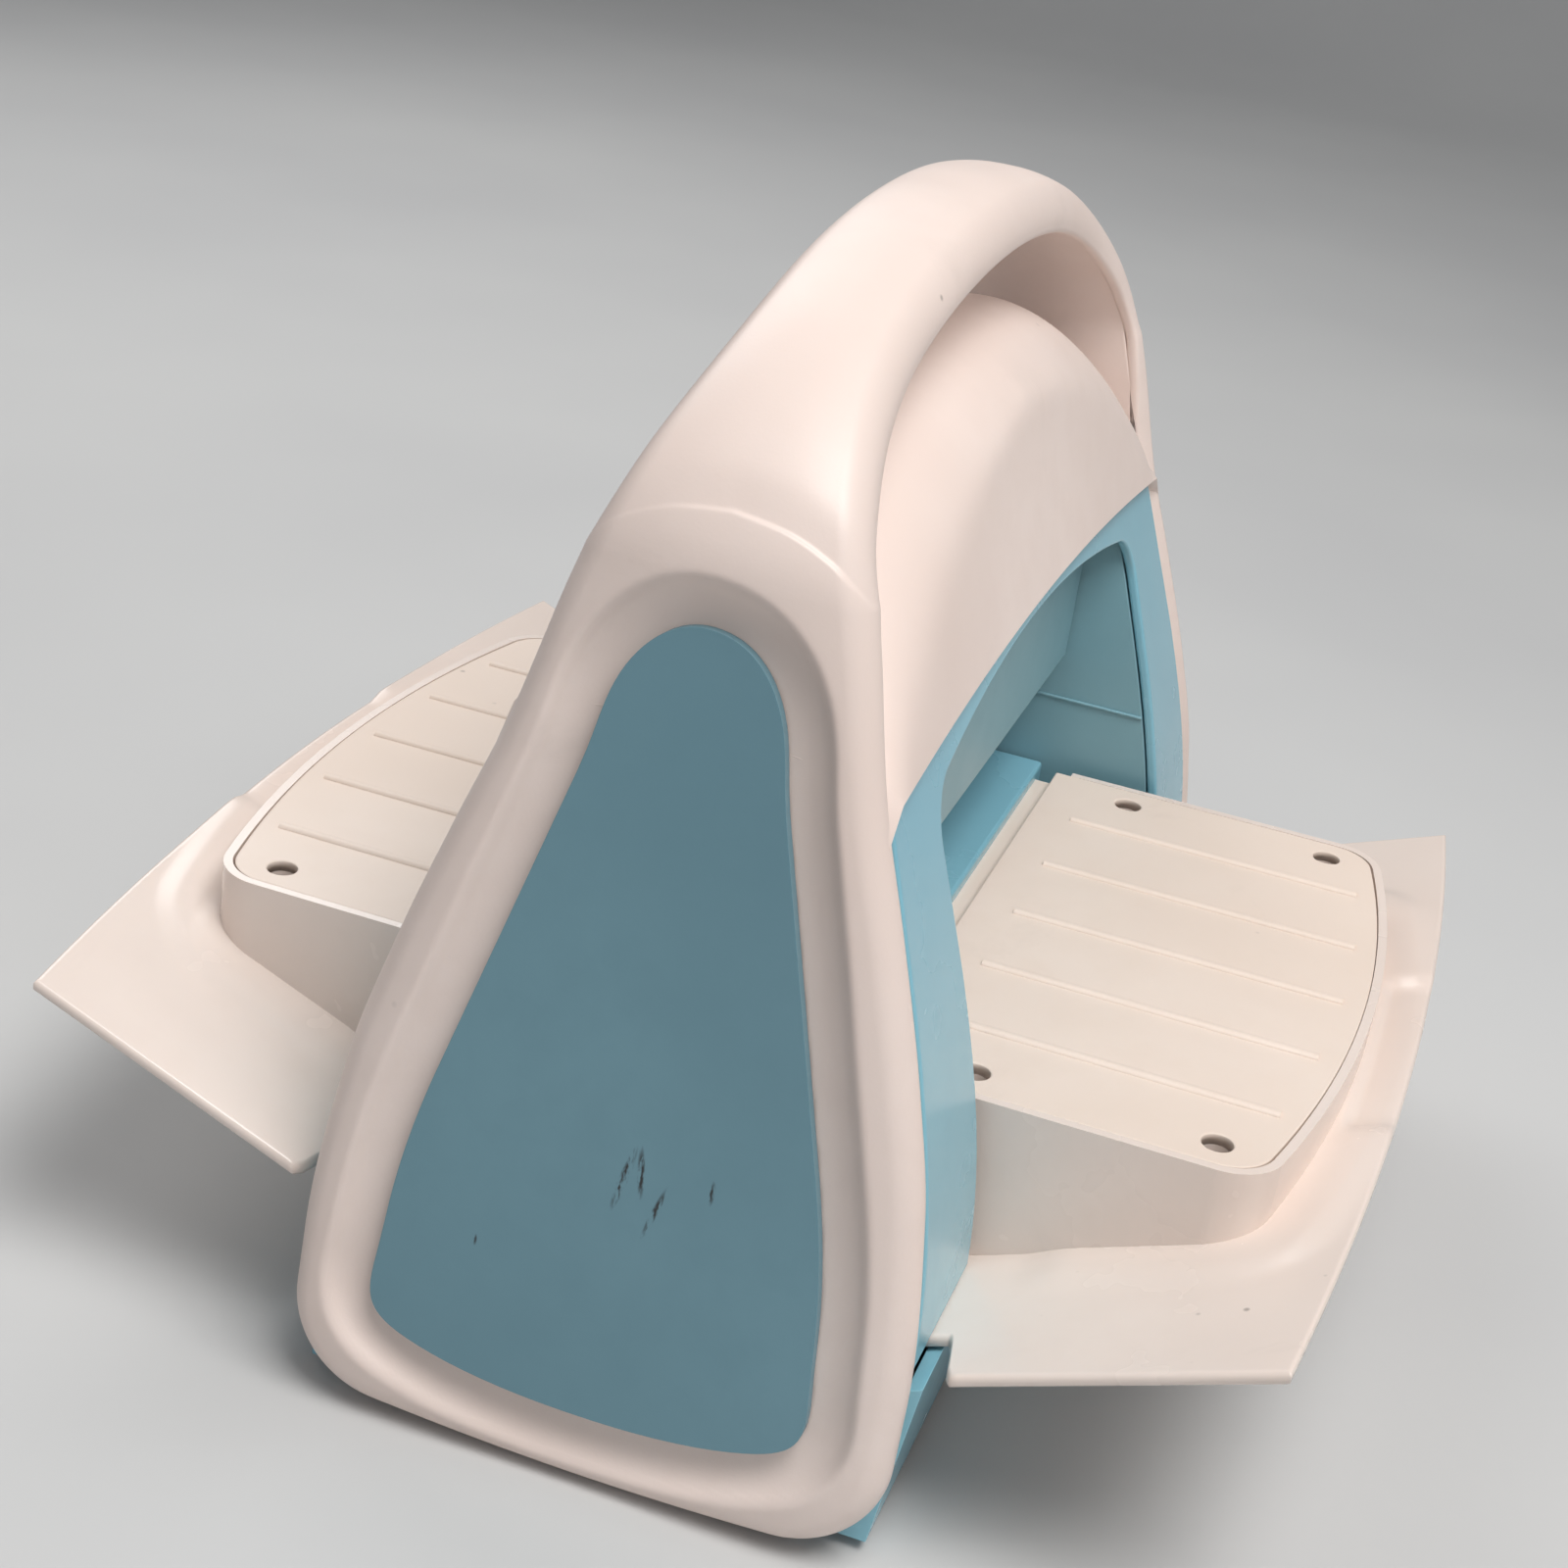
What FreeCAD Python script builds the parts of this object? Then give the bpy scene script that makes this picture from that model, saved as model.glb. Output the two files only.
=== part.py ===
import FreeCAD, Part
import math
import os

import Sketcher

# Hand-cranked roller machine for die cutting and embossing card. Millimetres.
# Origin: on the table, under the middle of the machine. +Z up, X across the machine (crank on +X),
# Y along the feed direction (front wing on -Y). The left side is -X.

os.makedirs("parts", exist_ok=True)
doc = FreeCAD.newDocument("RollerMachine")
Vector = FreeCAD.Vector
X_AXIS, Y_AXIS, Z_AXIS = Vector(1, 0, 0), Vector(0, 1, 0), Vector(0, 0, 1)

# ---------------------------------------------------------------------------------------------
# Driving dimensions; text is a formula in the sizes above it
# ---------------------------------------------------------------------------------------------
ROLLER_TEETH = 28
PINION_TEETH = 14
RIB_COUNT = 5
ROUNDNESS = 0.56
FULLNESS = 0.688
SIZES = {
    # feed passage and rollers, which set most other places
    "window_half_width": 86.0,
    "platform_height": 75.0,
    "roller_radius": 17.0,
    "roller_proud": 1.0,
    "nip_gap": 15.0,
    "lower_axis": "platform_height + roller_proud - roller_radius",
    "upper_axis": "lower_axis + 2 * roller_radius + nip_gap",
    "gear_module": f"(2 * roller_radius + nip_gap) / {ROLLER_TEETH}",
    "crank_axis": f"upper_axis + gear_module * {(ROLLER_TEETH + PINION_TEETH) / 2}",
    # arch and side legs
    "arch_room": 86.25,
    "arch_height": "crank_axis + arch_room",
    "side_lean": 0.135,
    "leg_room": 37.25875,
    "foot_half_width": "window_half_width + leg_room + side_lean * crank_axis",
    "shoulder_height": "arch_height - 50",
    "foot_half_depth": 63.5,
    "handle_half_depth": 16.0,
    "leg_bottom": 1.5,
    "leg_corner": 20.0,
    "band_thickness": 12.0,
    "skin": 3.0,
    "liner_thickness": 2.4,
    "crease_radius": 35.0,
    "crease_below_top": 37.3,
    # recess and inset panel in each side
    "inset_top": "arch_height - 57",
    "inset_bottom": 16.0,
    "inset_half_width": "foot_half_depth - 18.5",
    "inset_thickness": 2.5,
    "inset_gap": 0.4,
    "recess_depth": 5.0,
    "recess_bevel": 8.5,
    "recess_ledge": 6.0,
    # inner housings
    "shell_gap": 0.3,
    "housing_wall": 2.5,
    "housing_setback": 2.5,
    "window_corner": 12.0,
    "window_rim": 5.0,
    "cover_top": "arch_height - 30",
    "cover_edge_side": "cover_top - 59",
    "cover_edge_rise": 9.0,
    "cover_crease_height": "cover_top - 11",
    "cover_crease_half_depth": 25.0,
    "cover_wall": 2.5,
    "liner_bottom": "cover_edge_side - 44",
    "base_half_depth": "foot_half_depth + 0.5",
    "base_floor_half_depth": "foot_half_depth - 4.5",
    "base_wall": 3.0,
    "base_bottom": 2.5,
    "base_plate_thickness": 2.5,
    "foot_pad_radius": 9.0,
    "foot_pad_x": "foot_half_width - 30.8",
    "foot_pad_y": "foot_half_depth - 19.5",
    "base_screw_y": 22.0,
    "base_screw_head_radius": 3.4,
    "base_screw_head_height": 1.4,
    "base_screw_length": 12.0,
    "base_post_radius": 4.5,
    "base_post_height": 14.0,
    "web_thickness": 3.0,
    "passage_wall": 2.0,
    "passage_line_height": "platform_height + 17",
    "passage_line": 0.6,
    # roller covers and the parts that stand next to them
    "roller_cover_half_depth": "roller_radius + 11",
    "roller_cover_wall": 2.5,
    "upper_cover_drop": 4.0,
    "upper_cover_height": "roller_radius + 19",
    "lower_cover_height": "2 * roller_radius + 3",
    # platform, riser and wing
    "platform_half_width": "window_half_width - 4",
    "platform_inner": "roller_cover_half_depth + 8",
    "platform_side_reach": 113.0,
    "platform_reach": 123.3,
    "platform_corner": 12.0,
    "plate_thickness": 2.5,
    "plate_rim": 2.0,
    "plate_gap": 0.2,
    "riser_wall": 3.0,
    "riser_ledge": 4.0,
    "rib_height": 1.0,
    "rib_width": 3.2,
    "rib_spacing": "(platform_half_width - 27) / 2",
    "rib_start": "platform_inner + 6",
    "rib_end": 109.0,
    "screw_across": "platform_half_width - 10",
    "screw_near": "platform_inner + 16.5",
    "screw_far": 102.0,
    "screw_well_radius": 3.15,
    "screw_well_depth": 9.0,
    "screw_boss_radius": 6.0,
    "screw_head_radius": 2.8,
    "screw_head_height": 2.2,
    "screw_slot_length": 3.2,
    "screw_slot_width": 0.8,
    "screw_slot_depth": 1.0,
    "screw_shank_radius": 1.5,
    "screw_length": 12.0,
    "sill_drop": 10.0,
    "sill_thickness": 2.5,
    "wing_half_width": "foot_half_width - 16.8",
    "wing_side_reach": 127.5,
    "wing_reach": 134.3,
    "wing_edge_height": "platform_height - 9",
    "wing_slope": 0.395,
    "wing_thickness": 3.0,
    "wing_root": 49.0,
    "wing_root_half_width": "foot_half_width - 30.8",
    "grip_half_width": 34.0,
    "grip_depth": 9.0,
    "grip_drop": 1.4,
    # chassis, bearings and gears
    "roller_end_gap": 1.5,
    "journal_radius": 6.0,
    "running_gap": 0.05,
    "bush_wall": 3.0,
    "bush_flange": 1.5,
    "bush_flange_width": 2.5,
    "side_plate_x": "window_half_width + 4",
    "side_plate_thickness": 3.0,
    "side_plate_half_depth": 44.0,
    "side_plate_shoulder": "platform_height - 15",
    "side_plate_top_half_depth": 27.0,
    "side_plate_top": "crank_axis + 19.25",
    "flange_width": 12.0,
    "tie_rod_radius": 4.5,
    "tie_end_radius": 3.0,
    "tie_low_y": 32.0,
    "tie_low_z": 22.0,
    "tie_high_y": 15.0,
    "tie_high_z": "upper_axis + roller_radius + 7",
    "nut_height": 4.0,
    "nut_half_flats": 4.6,
    "gear_width": 8.0,
    "gear_offset": "side_plate_x + 7",
    "tooth_backlash": 0.25,
    "ring_width": 1.2,
    "ring_height": 2.5,
    "bracket_x": "gear_offset + gear_width + 2",
    "bracket_thickness": 2.0,
    "bracket_half_depth": 38.0,
    "bracket_top_half_depth": 30.0,
    "bracket_bottom": "upper_axis - 16",
    "bracket_top": "crank_axis + 12.25",
    "spacer_low_y": 33.0,
    "spacer_low_z": "upper_axis - 9",
    "spacer_high_y": 24.0,
    "spacer_high_z": "crank_axis + 5.25",
    "spacer_radius": 3.5,
    "spacer_hole_radius": 1.6,
    "spacer_screw_head": 1.6,
    # crank
    "shaft_radius": 5.0,
    "shaft_hole_gap": 1.5,
    "shaft_collar": 1.5,
    "escutcheon_radius": 13.0,
    "escutcheon_thickness": 2.5,
    "arm_x": "foot_half_width - 2.8",
    "arm_thickness": 8.0,
    "arm_length": 95.0,
    "arm_angle": 225.0,
    "arm_hub_radius": 14.0,
    "arm_end_radius": 10.0,
    "hub_boss_radius": 10.0,
    "hub_boss_length": 12.0,
    "arm_screw_radius": 6.0,
    "arm_screw_height": 2.5,
    "knob_radius": 13.0,
    "knob_start": "arm_x + 10",
    "knob_end": "knob_start + 46",
    "spindle_radius": 3.5,
    "spindle_end": "knob_end + 3",
    "spindle_head_radius": 5.5,
    "spindle_head_height": 2.5,
}

sheet = doc.addObject("Spreadsheet::Sheet", "dims")
for row, (alias, value) in enumerate(SIZES.items(), start=1):
    sheet.set(f"A{row}", alias)
    sheet.set(f"B{row}", f"={value}" if isinstance(value, str) else str(value))
    sheet.setAlias(f"B{row}", alias)
doc.recompute()

nodes = {}


def size(expression):
    """Value of an expression in the sheet's aliases."""
    return float(sheet.evalExpression(expression))


def cell(alias):
    """Value of one driving dimension."""
    return float(sheet.get(alias))


# Places that several pieces share, as expressions in the driving dimensions.
LOWER_AXIS = "dims.lower_axis"
UPPER_AXIS = "dims.upper_axis"
CRANK_AXIS = "dims.crank_axis"
BUSH_RADIUS = "dims.journal_radius + dims.running_gap + dims.bush_wall"
CRANK_BUSH_RADIUS = "dims.shaft_radius + dims.running_gap + dims.bush_wall"
ROLLER_HALF = "dims.window_half_width - dims.roller_end_gap"
PLATE_OUTER = "dims.side_plate_x + dims.side_plate_thickness"
BASE_TOP = "dims.base_bottom + dims.base_plate_thickness"


# ---------------------------------------------------------------------------------------------
# Helpers: parametric bodies, primitives and plain features
# ---------------------------------------------------------------------------------------------
def new_body(label):
    body = doc.addObject("PartDesign::Body", label)
    body.Label = label
    nodes[label] = body
    return body


def add_sketch(body, role, offset="0"):
    """Sketch on one of the body's own origin planes, moved along the plane's normal."""
    plane = next(item for item in body.Origin.OriginFeatures if item.Role == role)
    sketch = body.newObject("Sketcher::SketchObject", f"{body.Label}_sketch")
    sketch.AttachmentSupport = (plane, [""])
    sketch.MapMode = "FlatFace"
    sketch.setExpression(".AttachmentOffset.Base.z", offset)
    return sketch


def place_point(sketch, geometry, point, place):
    """Fix a sketch point by its two coordinates, each an expression."""
    for kind, expression in zip(("DistanceX", "DistanceY"), place):
        constraint = Sketcher.Constraint(kind, -1, 1, geometry, point, size(expression))
        index = sketch.addConstraint(constraint)
        sketch.setExpression(f"Constraints[{index}]", expression)


def add_polygon(sketch, corners):
    points = [Vector(size(x), size(y), 0) for x, y in corners]
    first = sketch.GeometryCount
    count = len(points)
    for i in range(count):
        sketch.addGeometry(Part.LineSegment(points[i], points[(i + 1) % count]), False)
    for i in range(count):
        sketch.addConstraint(Sketcher.Constraint("Coincident", first + i, 2, first + (i + 1) % count, 1))
    for i in range(count):
        place_point(sketch, first + i, 1, corners[i])


def add_rectangle(sketch, low_x, high_x, low_y, high_y):
    add_polygon(sketch, [(low_x, low_y), (high_x, low_y), (high_x, high_y), (low_x, high_y)])


def add_circle(sketch, x, y, radius):
    centre = Vector(size(x), size(y), 0)
    index = sketch.addGeometry(Part.Circle(centre, Z_AXIS, size(radius)), False)
    constraint = sketch.addConstraint(Sketcher.Constraint("Radius", index, size(radius)))
    sketch.setExpression(f"Constraints[{constraint}]", radius)
    place_point(sketch, index, 3, (x, y))


def pad(body, sketch, length):
    feature = body.newObject("PartDesign::Pad", f"{body.Label}_pad")
    feature.Profile = sketch
    feature.setExpression("Length", length)
    sketch.Visibility = False
    return feature


def pocket_through(body, sketch):
    feature = body.newObject("PartDesign::Pocket", f"{body.Label}_pocket")
    feature.Profile = sketch
    feature.Type = "ThroughAll"
    feature.Midplane = True
    sketch.Visibility = False
    return feature


def place_by(item, x="0", y="0", z="0"):
    for axis, expression in zip("xyz", (x, y, z)):
        item.setExpression(f".Placement.Base.{axis}", expression)


def cylinder(name, radius, length, x="0", y="0", z="0", along=Z_AXIS):
    """Cylinder primitive that starts at the given point and runs along the given axis."""
    item = doc.addObject("Part::Cylinder", name)
    item.setExpression("Radius", radius)
    item.setExpression("Height", length)
    item.Placement = FreeCAD.Placement(Vector(), FreeCAD.Rotation(Z_AXIS, along))
    place_by(item, x, y, z)
    return item


def stepped(name, steps, y="0", z="0"):
    """Solid turned about a line along X: each step is (start, end, radius)."""
    rounds = [
        cylinder(f"{name}_step", radius, f"({end}) - ({start})", start, y, z, X_AXIS)
        for start, end, radius in steps
    ]
    if len(rounds) == 1:
        return rounds[0]
    fused = doc.addObject("Part::MultiFuse", f"{name}_turned")
    fused.Shapes = rounds
    return fused


def cut(name, base, tool):
    item = doc.addObject("Part::Cut", name)
    item.Base = base
    item.Tool = tool
    return item


def keep(label, item):
    """Make an object, or a group of separate solids, into the sub-part called label."""
    if isinstance(item, list):
        group = doc.addObject("Part::Compound", label)
        group.Links = item
        item = group
    item.Label = label
    nodes[label] = item


def keep_shape(label, shape, placement=None):
    """Sub-part whose shape no sketch feature or primitive suits."""
    item = doc.addObject("Part::Feature", label)
    item.Shape = shape.removeSplitter()
    item.Placement = placement or FreeCAD.Placement()
    item.Label = label
    nodes[label] = item
    return item


def bore(solid, hole_radius, name, start, end, y, z):
    tool = cylinder(f"{name}_bore", hole_radius, f"({end}) - ({start})", start, y, z, X_AXIS)
    return cut(name, solid, tool)


def half_turn():
    return FreeCAD.Placement(Vector(), FreeCAD.Rotation(Z_AXIS, 180))


def moved_to(x, axis):
    """Placement on one of the shafts, at a distance from the middle."""
    return FreeCAD.Placement(Vector(x, 0, size(axis)), FreeCAD.Rotation())


# ---------------------------------------------------------------------------------------------
# Outlines
# ---------------------------------------------------------------------------------------------
def smooth(points, start=None, end=None):
    """Edge through points, with end directions where they are given."""
    curve = Part.BSplineCurve()
    if start and end:
        curve.interpolate(Points=points, InitialTangent=start, FinalTangent=end)
    else:
        curve.interpolate(Points=points)
    return curve.toShape()


def mirrored_wire(edges, normal):
    """Closed wire from edges on one side of the middle plane and their mirror image."""
    other = [edge.mirror(Vector(), normal) for edge in edges]
    return Part.Wire(Part.__sortEdges__(edges + other))


def arch_area(inward):
    """Front view of the arch, from below the table to the crown, moved inward by a distance."""
    lean = cell("side_lean")
    shift = inward * math.sqrt(1 + lean * lean)
    foot = cell("foot_half_width") - shift
    low, shoulder = -20.0, cell("shoulder_height")
    half = foot - lean * shoulder
    rise = cell("arch_height") - inward - shoulder
    side = Part.makeLine(Vector(foot - lean * low, 0, low), Vector(half, 0, shoulder))
    bottom = Part.makeLine(Vector(0, 0, low), Vector(foot - lean * low, 0, low))
    top = shoulder + rise
    crown = Part.BezierCurve()
    crown.setPoles([
        Vector(half, 0, shoulder),
        Vector(half - lean * ROUNDNESS * rise, 0, shoulder + ROUNDNESS * rise),
        Vector(ROUNDNESS * half, 0, top),
        Vector(0, 0, top),
    ])
    crown = crown.toShape()
    return Part.Face(mirrored_wire([bottom, side, crown], X_AXIS))


def arch_block(inward):
    reach = 2 * cell("foot_half_depth")
    face = arch_area(inward)
    face.translate(Vector(0, -reach, 0))
    return face.extrude(Vector(0, 2 * reach, 0))


def leg_outline(inward):
    """Side view of the legs and handle: wide foot, waisted sides, narrow top above the arch."""
    foot, top = cell("foot_half_depth"), cell("handle_half_depth")
    crown = cell("arch_height")
    waist_half = top + 0.46 * (foot - top)
    side = smooth(
        [
            Vector(0, foot, 0.155 * crown),
            Vector(0, waist_half + 0.62 * (foot - waist_half), 0.42 * crown),
            Vector(0, waist_half, 0.63 * crown),
            Vector(0, top, 0.97 * crown),
        ],
        Vector(0, 0, 1),
        Vector(0, -0.22, 1),
    )
    if inward:
        side = moved_curve(side, inward)
    foot, top = foot - inward, top - inward
    low, corner = cell("leg_bottom") + inward, cell("leg_corner") - inward
    side_low, side_high = side.Vertexes[0].Point, side.Vertexes[-1].Point
    lid = crown + 20
    turn = corner * (1 - math.sqrt(0.5))
    half = [
        Part.makeLine(Vector(0, 0, lid), Vector(0, side_high.y, lid)),
        Part.makeLine(Vector(0, side_high.y, lid), side_high),
        side,
        Part.makeLine(side_low, Vector(0, foot, low + 2 + corner)),
        Part.Arc(
            Vector(0, foot, low + 2 + corner),
            Vector(0, foot - turn, low + 2 + turn),
            Vector(0, foot - corner, low + 2),
        ).toShape(),
    ]
    bottom = Part.Arc(
        Vector(0, foot - corner, low + 2), Vector(0, 0, low), Vector(0, corner - foot, low + 2)
    ).toShape()
    other = [edge.mirror(Vector(), Y_AXIS) for edge in half]
    return Part.Wire(Part.__sortEdges__(half + other + [bottom]))


def moved_curve(edge, inward, count=8):
    """Smooth edge in the YZ plane moved towards the middle plane."""
    curve = edge.Curve
    points, directions = [], []
    for i in range(count + 1):
        at = curve.FirstParameter + (curve.LastParameter - curve.FirstParameter) * i / count
        along = curve.tangent(at)[0]
        points.append(curve.value(at) + Vector(0, -along.z, along.y) * inward)
        directions.append(along)
    return smooth(points, directions[0], directions[-1])


def leg_block(inward):
    """The leg outline moved inward and extended across the whole machine."""
    reach = 2 * cell("foot_half_width")
    face = Part.Face(leg_outline(inward))
    face.translate(Vector(-reach, 0, 0))
    return face.extrude(Vector(2 * reach, 0, 0))


def slab(low, high):
    """Everything between two heights."""
    reach = 2 * cell("foot_half_width")
    box = Part.makeBox(2 * reach, 2 * reach, high - low)
    box.translate(Vector(-reach, -reach, low))
    return box


def front_half():
    reach = 2 * cell("foot_half_width")
    box = Part.makeBox(2 * reach, reach, 2 * reach)
    box.translate(Vector(-reach, -reach, -reach / 2))
    return box


def left_half():
    reach = 2 * cell("foot_half_width")
    box = Part.makeBox(reach, 2 * reach, 2 * reach)
    box.translate(Vector(-reach, -reach, -reach / 2))
    return box


def inset_outline(outward):
    """Rounded drop shape of the inset panel, in the side's own plane: x across, y up the slope."""
    top, bottom, half = cell("inset_top"), cell("inset_bottom"), cell("inset_half_width")
    tall = top - bottom
    right = [
        (0.222, 0.975),
        (0.333, 0.933),
        (0.407, 0.857),
        (0.504, 0.748),
        (0.616, 0.637),
        (0.722, 0.525),
        (0.833, 0.410),
        (0.929, 0.295),
        (0.978, 0.193),
        (1.000, 0.110),
        (0.962, 0.052),
        (0.878, 0.036),
        (0.667, 0.017),
    ]
    points = [Vector(0, top, 0)]
    points += [Vector(half * u, bottom + tall * v, 0) for u, v in right]
    points += [Vector(0, bottom, 0)]
    points += [Vector(-half * u, bottom + tall * v, 0) for u, v in reversed(right)]
    curve = Part.BSplineCurve()
    curve.interpolate(Points=points, PeriodicFlag=True)
    if outward:
        curve = offset_loop(curve, outward)
    return Part.Wire([curve.toShape()])


def offset_loop(curve, outward, count=36):
    """Closed smooth curve in the XY plane moved outward, as one smooth curve again."""
    first, last = curve.FirstParameter, curve.LastParameter
    points = []
    for i in range(count):
        at = first + (last - first) * i / count
        along = curve.tangent(at)[0]
        points.append(curve.value(at) + Vector(-along.y, along.x, 0) * outward)
    moved = Part.BSplineCurve()
    moved.interpolate(Points=points, PeriodicFlag=True)
    return moved


def side_frame():
    """Placement of the left side's own plane: x towards -Y, y up the slope, z outward."""
    lean = math.atan(cell("side_lean"))
    up = Vector(math.sin(lean), 0, math.cos(lean))
    outward = Vector(-math.cos(lean), 0, math.sin(lean))
    rotation = FreeCAD.Rotation(-Y_AXIS, up, outward, "ZXY")
    return FreeCAD.Placement(Vector(-cell("foot_half_width"), 0, 0), rotation)


def inset_block(outward, low, high, low_outward=None):
    """Solid of the drop shape between two depths of the side's plane, tapered if asked."""
    outer = inset_outline(outward)
    outer.translate(Vector(0, 0, high))
    if low_outward is None:
        solid = Part.Face(outer).extrude(Vector(0, 0, low - high))
    else:
        inner = inset_outline(low_outward)
        inner.translate(Vector(0, 0, low))
        solid = Part.makeLoft([inner, outer], True)
    solid.Placement = side_frame()
    return solid


# ---------------------------------------------------------------------------------------------
# Outer body: side bezels, insets, handle arch and liner
# ---------------------------------------------------------------------------------------------
def make_outer_body():
    skin, band = cell("skin"), cell("band_thickness")
    shell = arch_block(0).common(leg_block(0))
    shell = shell.cut(arch_block(band))
    shell = shell.cut(arch_block(skin).common(leg_block(skin)))

    reach = 2 * cell("foot_half_width")
    crease_z = cell("arch_height") - cell("crease_below_top") - cell("crease_radius")
    crease = Part.makeCylinder(cell("crease_radius"), 2 * reach, Vector(-reach, 0, crease_z), X_AXIS)
    below = slab(-reach, crease_z)
    sides = shell.common(below.fuse(crease))
    handle = shell.cut(below).cut(crease)

    depth, bevel, ledge = cell("recess_depth"), cell("recess_bevel"), cell("recess_ledge")
    pan = inset_block(bevel, -depth - skin, -skin / 2, skin / 2)
    left = sides.common(left_half()).fuse(pan)
    left = left.cut(inset_block(bevel + 0.6, -depth, 0.6, 0.0))
    left = left.cut(inset_block(-ledge, -3 * depth, 1))
    keep_shape("side_bezel_left", left)
    keep_shape("side_bezel_right", left.mirror(Vector(), X_AXIS))
    keep_shape("handle_arch", handle)

    panel = inset_block(-cell("inset_gap"), -depth, -depth + cell("inset_thickness"))
    keep_shape("side_inset_left", panel)
    hole_radius = cell("shaft_radius") + cell("shaft_hole_gap")
    shaft_hole = Part.makeCylinder(hole_radius, reach, Vector(0, 0, size(CRANK_AXIS)), X_AXIS)
    keep_shape("side_inset_right", panel.mirror(Vector(), X_AXIS).cut(shaft_hole))

    liner = arch_block(band - cell("liner_thickness")).cut(arch_block(band))
    liner = liner.common(leg_block(skin + cell("shell_gap"))).common(slab(cell("liner_bottom"), reach))
    keep_shape("handle_liner", liner.cut(shaft_hole))


# ---------------------------------------------------------------------------------------------
# Inner housings
# ---------------------------------------------------------------------------------------------
def cover_edge_curve(drop, half_width):
    """Gentle arch of the cover's lower edge: middle height and ends at half_width."""
    side, rise = cell("cover_edge_side") - drop, cell("cover_edge_rise")
    return Part.Arc(
        Vector(-half_width, 0, side), Vector(0, 0, side + rise), Vector(half_width, 0, side)
    ).toShape()


def below_cover_edge(drop, low, half_width=None):
    """Block below the cover's lower edge, right through the machine."""
    half = half_width or cell("foot_half_width")
    reach = 2 * cell("foot_half_depth")
    edge = cover_edge_curve(drop, half)
    side = cell("cover_edge_side") - drop
    rest = Part.makePolygon(
        [Vector(half, 0, side), Vector(half, 0, low), Vector(-half, 0, low), Vector(-half, 0, side)]
    )
    face = Part.Face(Part.Wire(Part.__sortEdges__([edge] + rest.Edges)))
    face.translate(Vector(0, -reach, 0))
    return face.extrude(Vector(0, 2 * reach, 0))


def leg_half_depth(height):
    """Half depth of the leg outline at a height."""
    across = Part.makeLine(Vector(0, 0, height), Vector(0, 2 * cell("foot_half_depth"), height))
    return across.common(Part.Face(leg_outline(0))).BoundBox.YMax


def cover_block(inward):
    """Dome between the legs: arched in front view, tapered to a crowned top in side view."""
    top, low = cell("cover_top") - inward, cell("cover_edge_side") - 10
    half = cell("foot_half_width") - cell("side_lean") * low - cell("band_thickness") - inward
    rise = top - low
    crown = Part.BezierCurve()
    crown.setPoles([
        Vector(half, 0, low),
        Vector(half, 0, low + FULLNESS * rise),
        Vector(FULLNESS * half, 0, top),
        Vector(0, 0, top),
    ])
    floor = Part.makeLine(Vector(0, 0, low), Vector(half, 0, low))
    reach = 2 * cell("foot_half_depth")
    front_view = Part.Face(mirrored_wire([floor, crown.toShape()], X_AXIS))
    front_view.translate(Vector(0, reach, 0))
    front_view = front_view.extrude(Vector(0, -2 * reach, 0))

    crease_z = cell("cover_crease_height") - inward
    crease_y = cell("cover_crease_half_depth") - inward
    edge_z = cell("cover_edge_side")
    flare = leg_half_depth(edge_z) - cell("shell_gap") - cell("cover_crease_half_depth")
    flare /= cell("cover_crease_height") - edge_z
    edge_y = crease_y + flare * (cell("cover_crease_height") - low)
    corners = [Vector(0, crease_y, crease_z), Vector(0, edge_y, low), Vector(0, -edge_y, low)]
    sides = Part.makePolygon(corners + [Vector(0, -crease_y, crease_z)])
    crown = Part.Arc(
        Vector(0, -crease_y, crease_z), Vector(0, 0, top), Vector(0, crease_y, crease_z)
    ).toShape()
    side_face = Part.Face(Part.Wire(Part.__sortEdges__(sides.Edges + [crown])))
    width = 2 * cell("foot_half_width")
    side_face.translate(Vector(-width, 0, 0))
    return front_view.common(side_face.extrude(Vector(2 * width, 0, 0)))


def make_top_cover():
    gap = cell("shell_gap")
    cover = cover_block(0).cut(cover_block(cell("cover_wall")))
    cover = cover.common(arch_block(cell("band_thickness") + gap))
    cover = cover.cut(below_cover_edge(0, -50))
    notch_y = cell("bracket_top_half_depth") + 2.5
    notch = Part.makeBox(cell("foot_half_width"), 2 * notch_y, cell("bracket_top") + 1.5)
    notch.translate(Vector(cell("bracket_x") - 3, -notch_y, 0))
    keep_shape("top_cover", cover.cut(notch))


def wing_plane(y, drop=0.0):
    """Height of a wing's upper surface at a distance y from the middle, less a drop."""
    slope = cell("wing_slope")
    return cell("wing_edge_height") - (cell("wing_side_reach") - y) * slope - drop


def under_wing(drop):
    """Wedge below the front wing's surface, moved down by a drop, from the middle outwards."""
    far = 2 * cell("wing_reach")
    points = [
        Vector(0, 0, wing_plane(0, drop)),
        Vector(0, -far, wing_plane(far, drop)),
        Vector(0, -far, -100),
        Vector(0, 0, -100),
        Vector(0, 0, wing_plane(0, drop)),
    ]
    width = 2 * cell("foot_half_width")
    face = Part.Face(Part.makePolygon(points))
    face.translate(Vector(-width, 0, 0))
    return face.extrude(Vector(2 * width, 0, 0))


def window_block():
    """Feed window: straight jambs and an arched head with rounded corners."""
    half = cell("window_half_width")
    block = below_cover_edge(cell("window_rim"), 0, half)
    upright = [edge for edge in block.Edges if abs(edge.BoundBox.YLength - block.BoundBox.YLength) < 1]
    heads = [edge for edge in upright if edge.BoundBox.ZMin > cell("platform_height")]
    return block.makeFillet(cell("window_corner"), heads)


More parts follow.
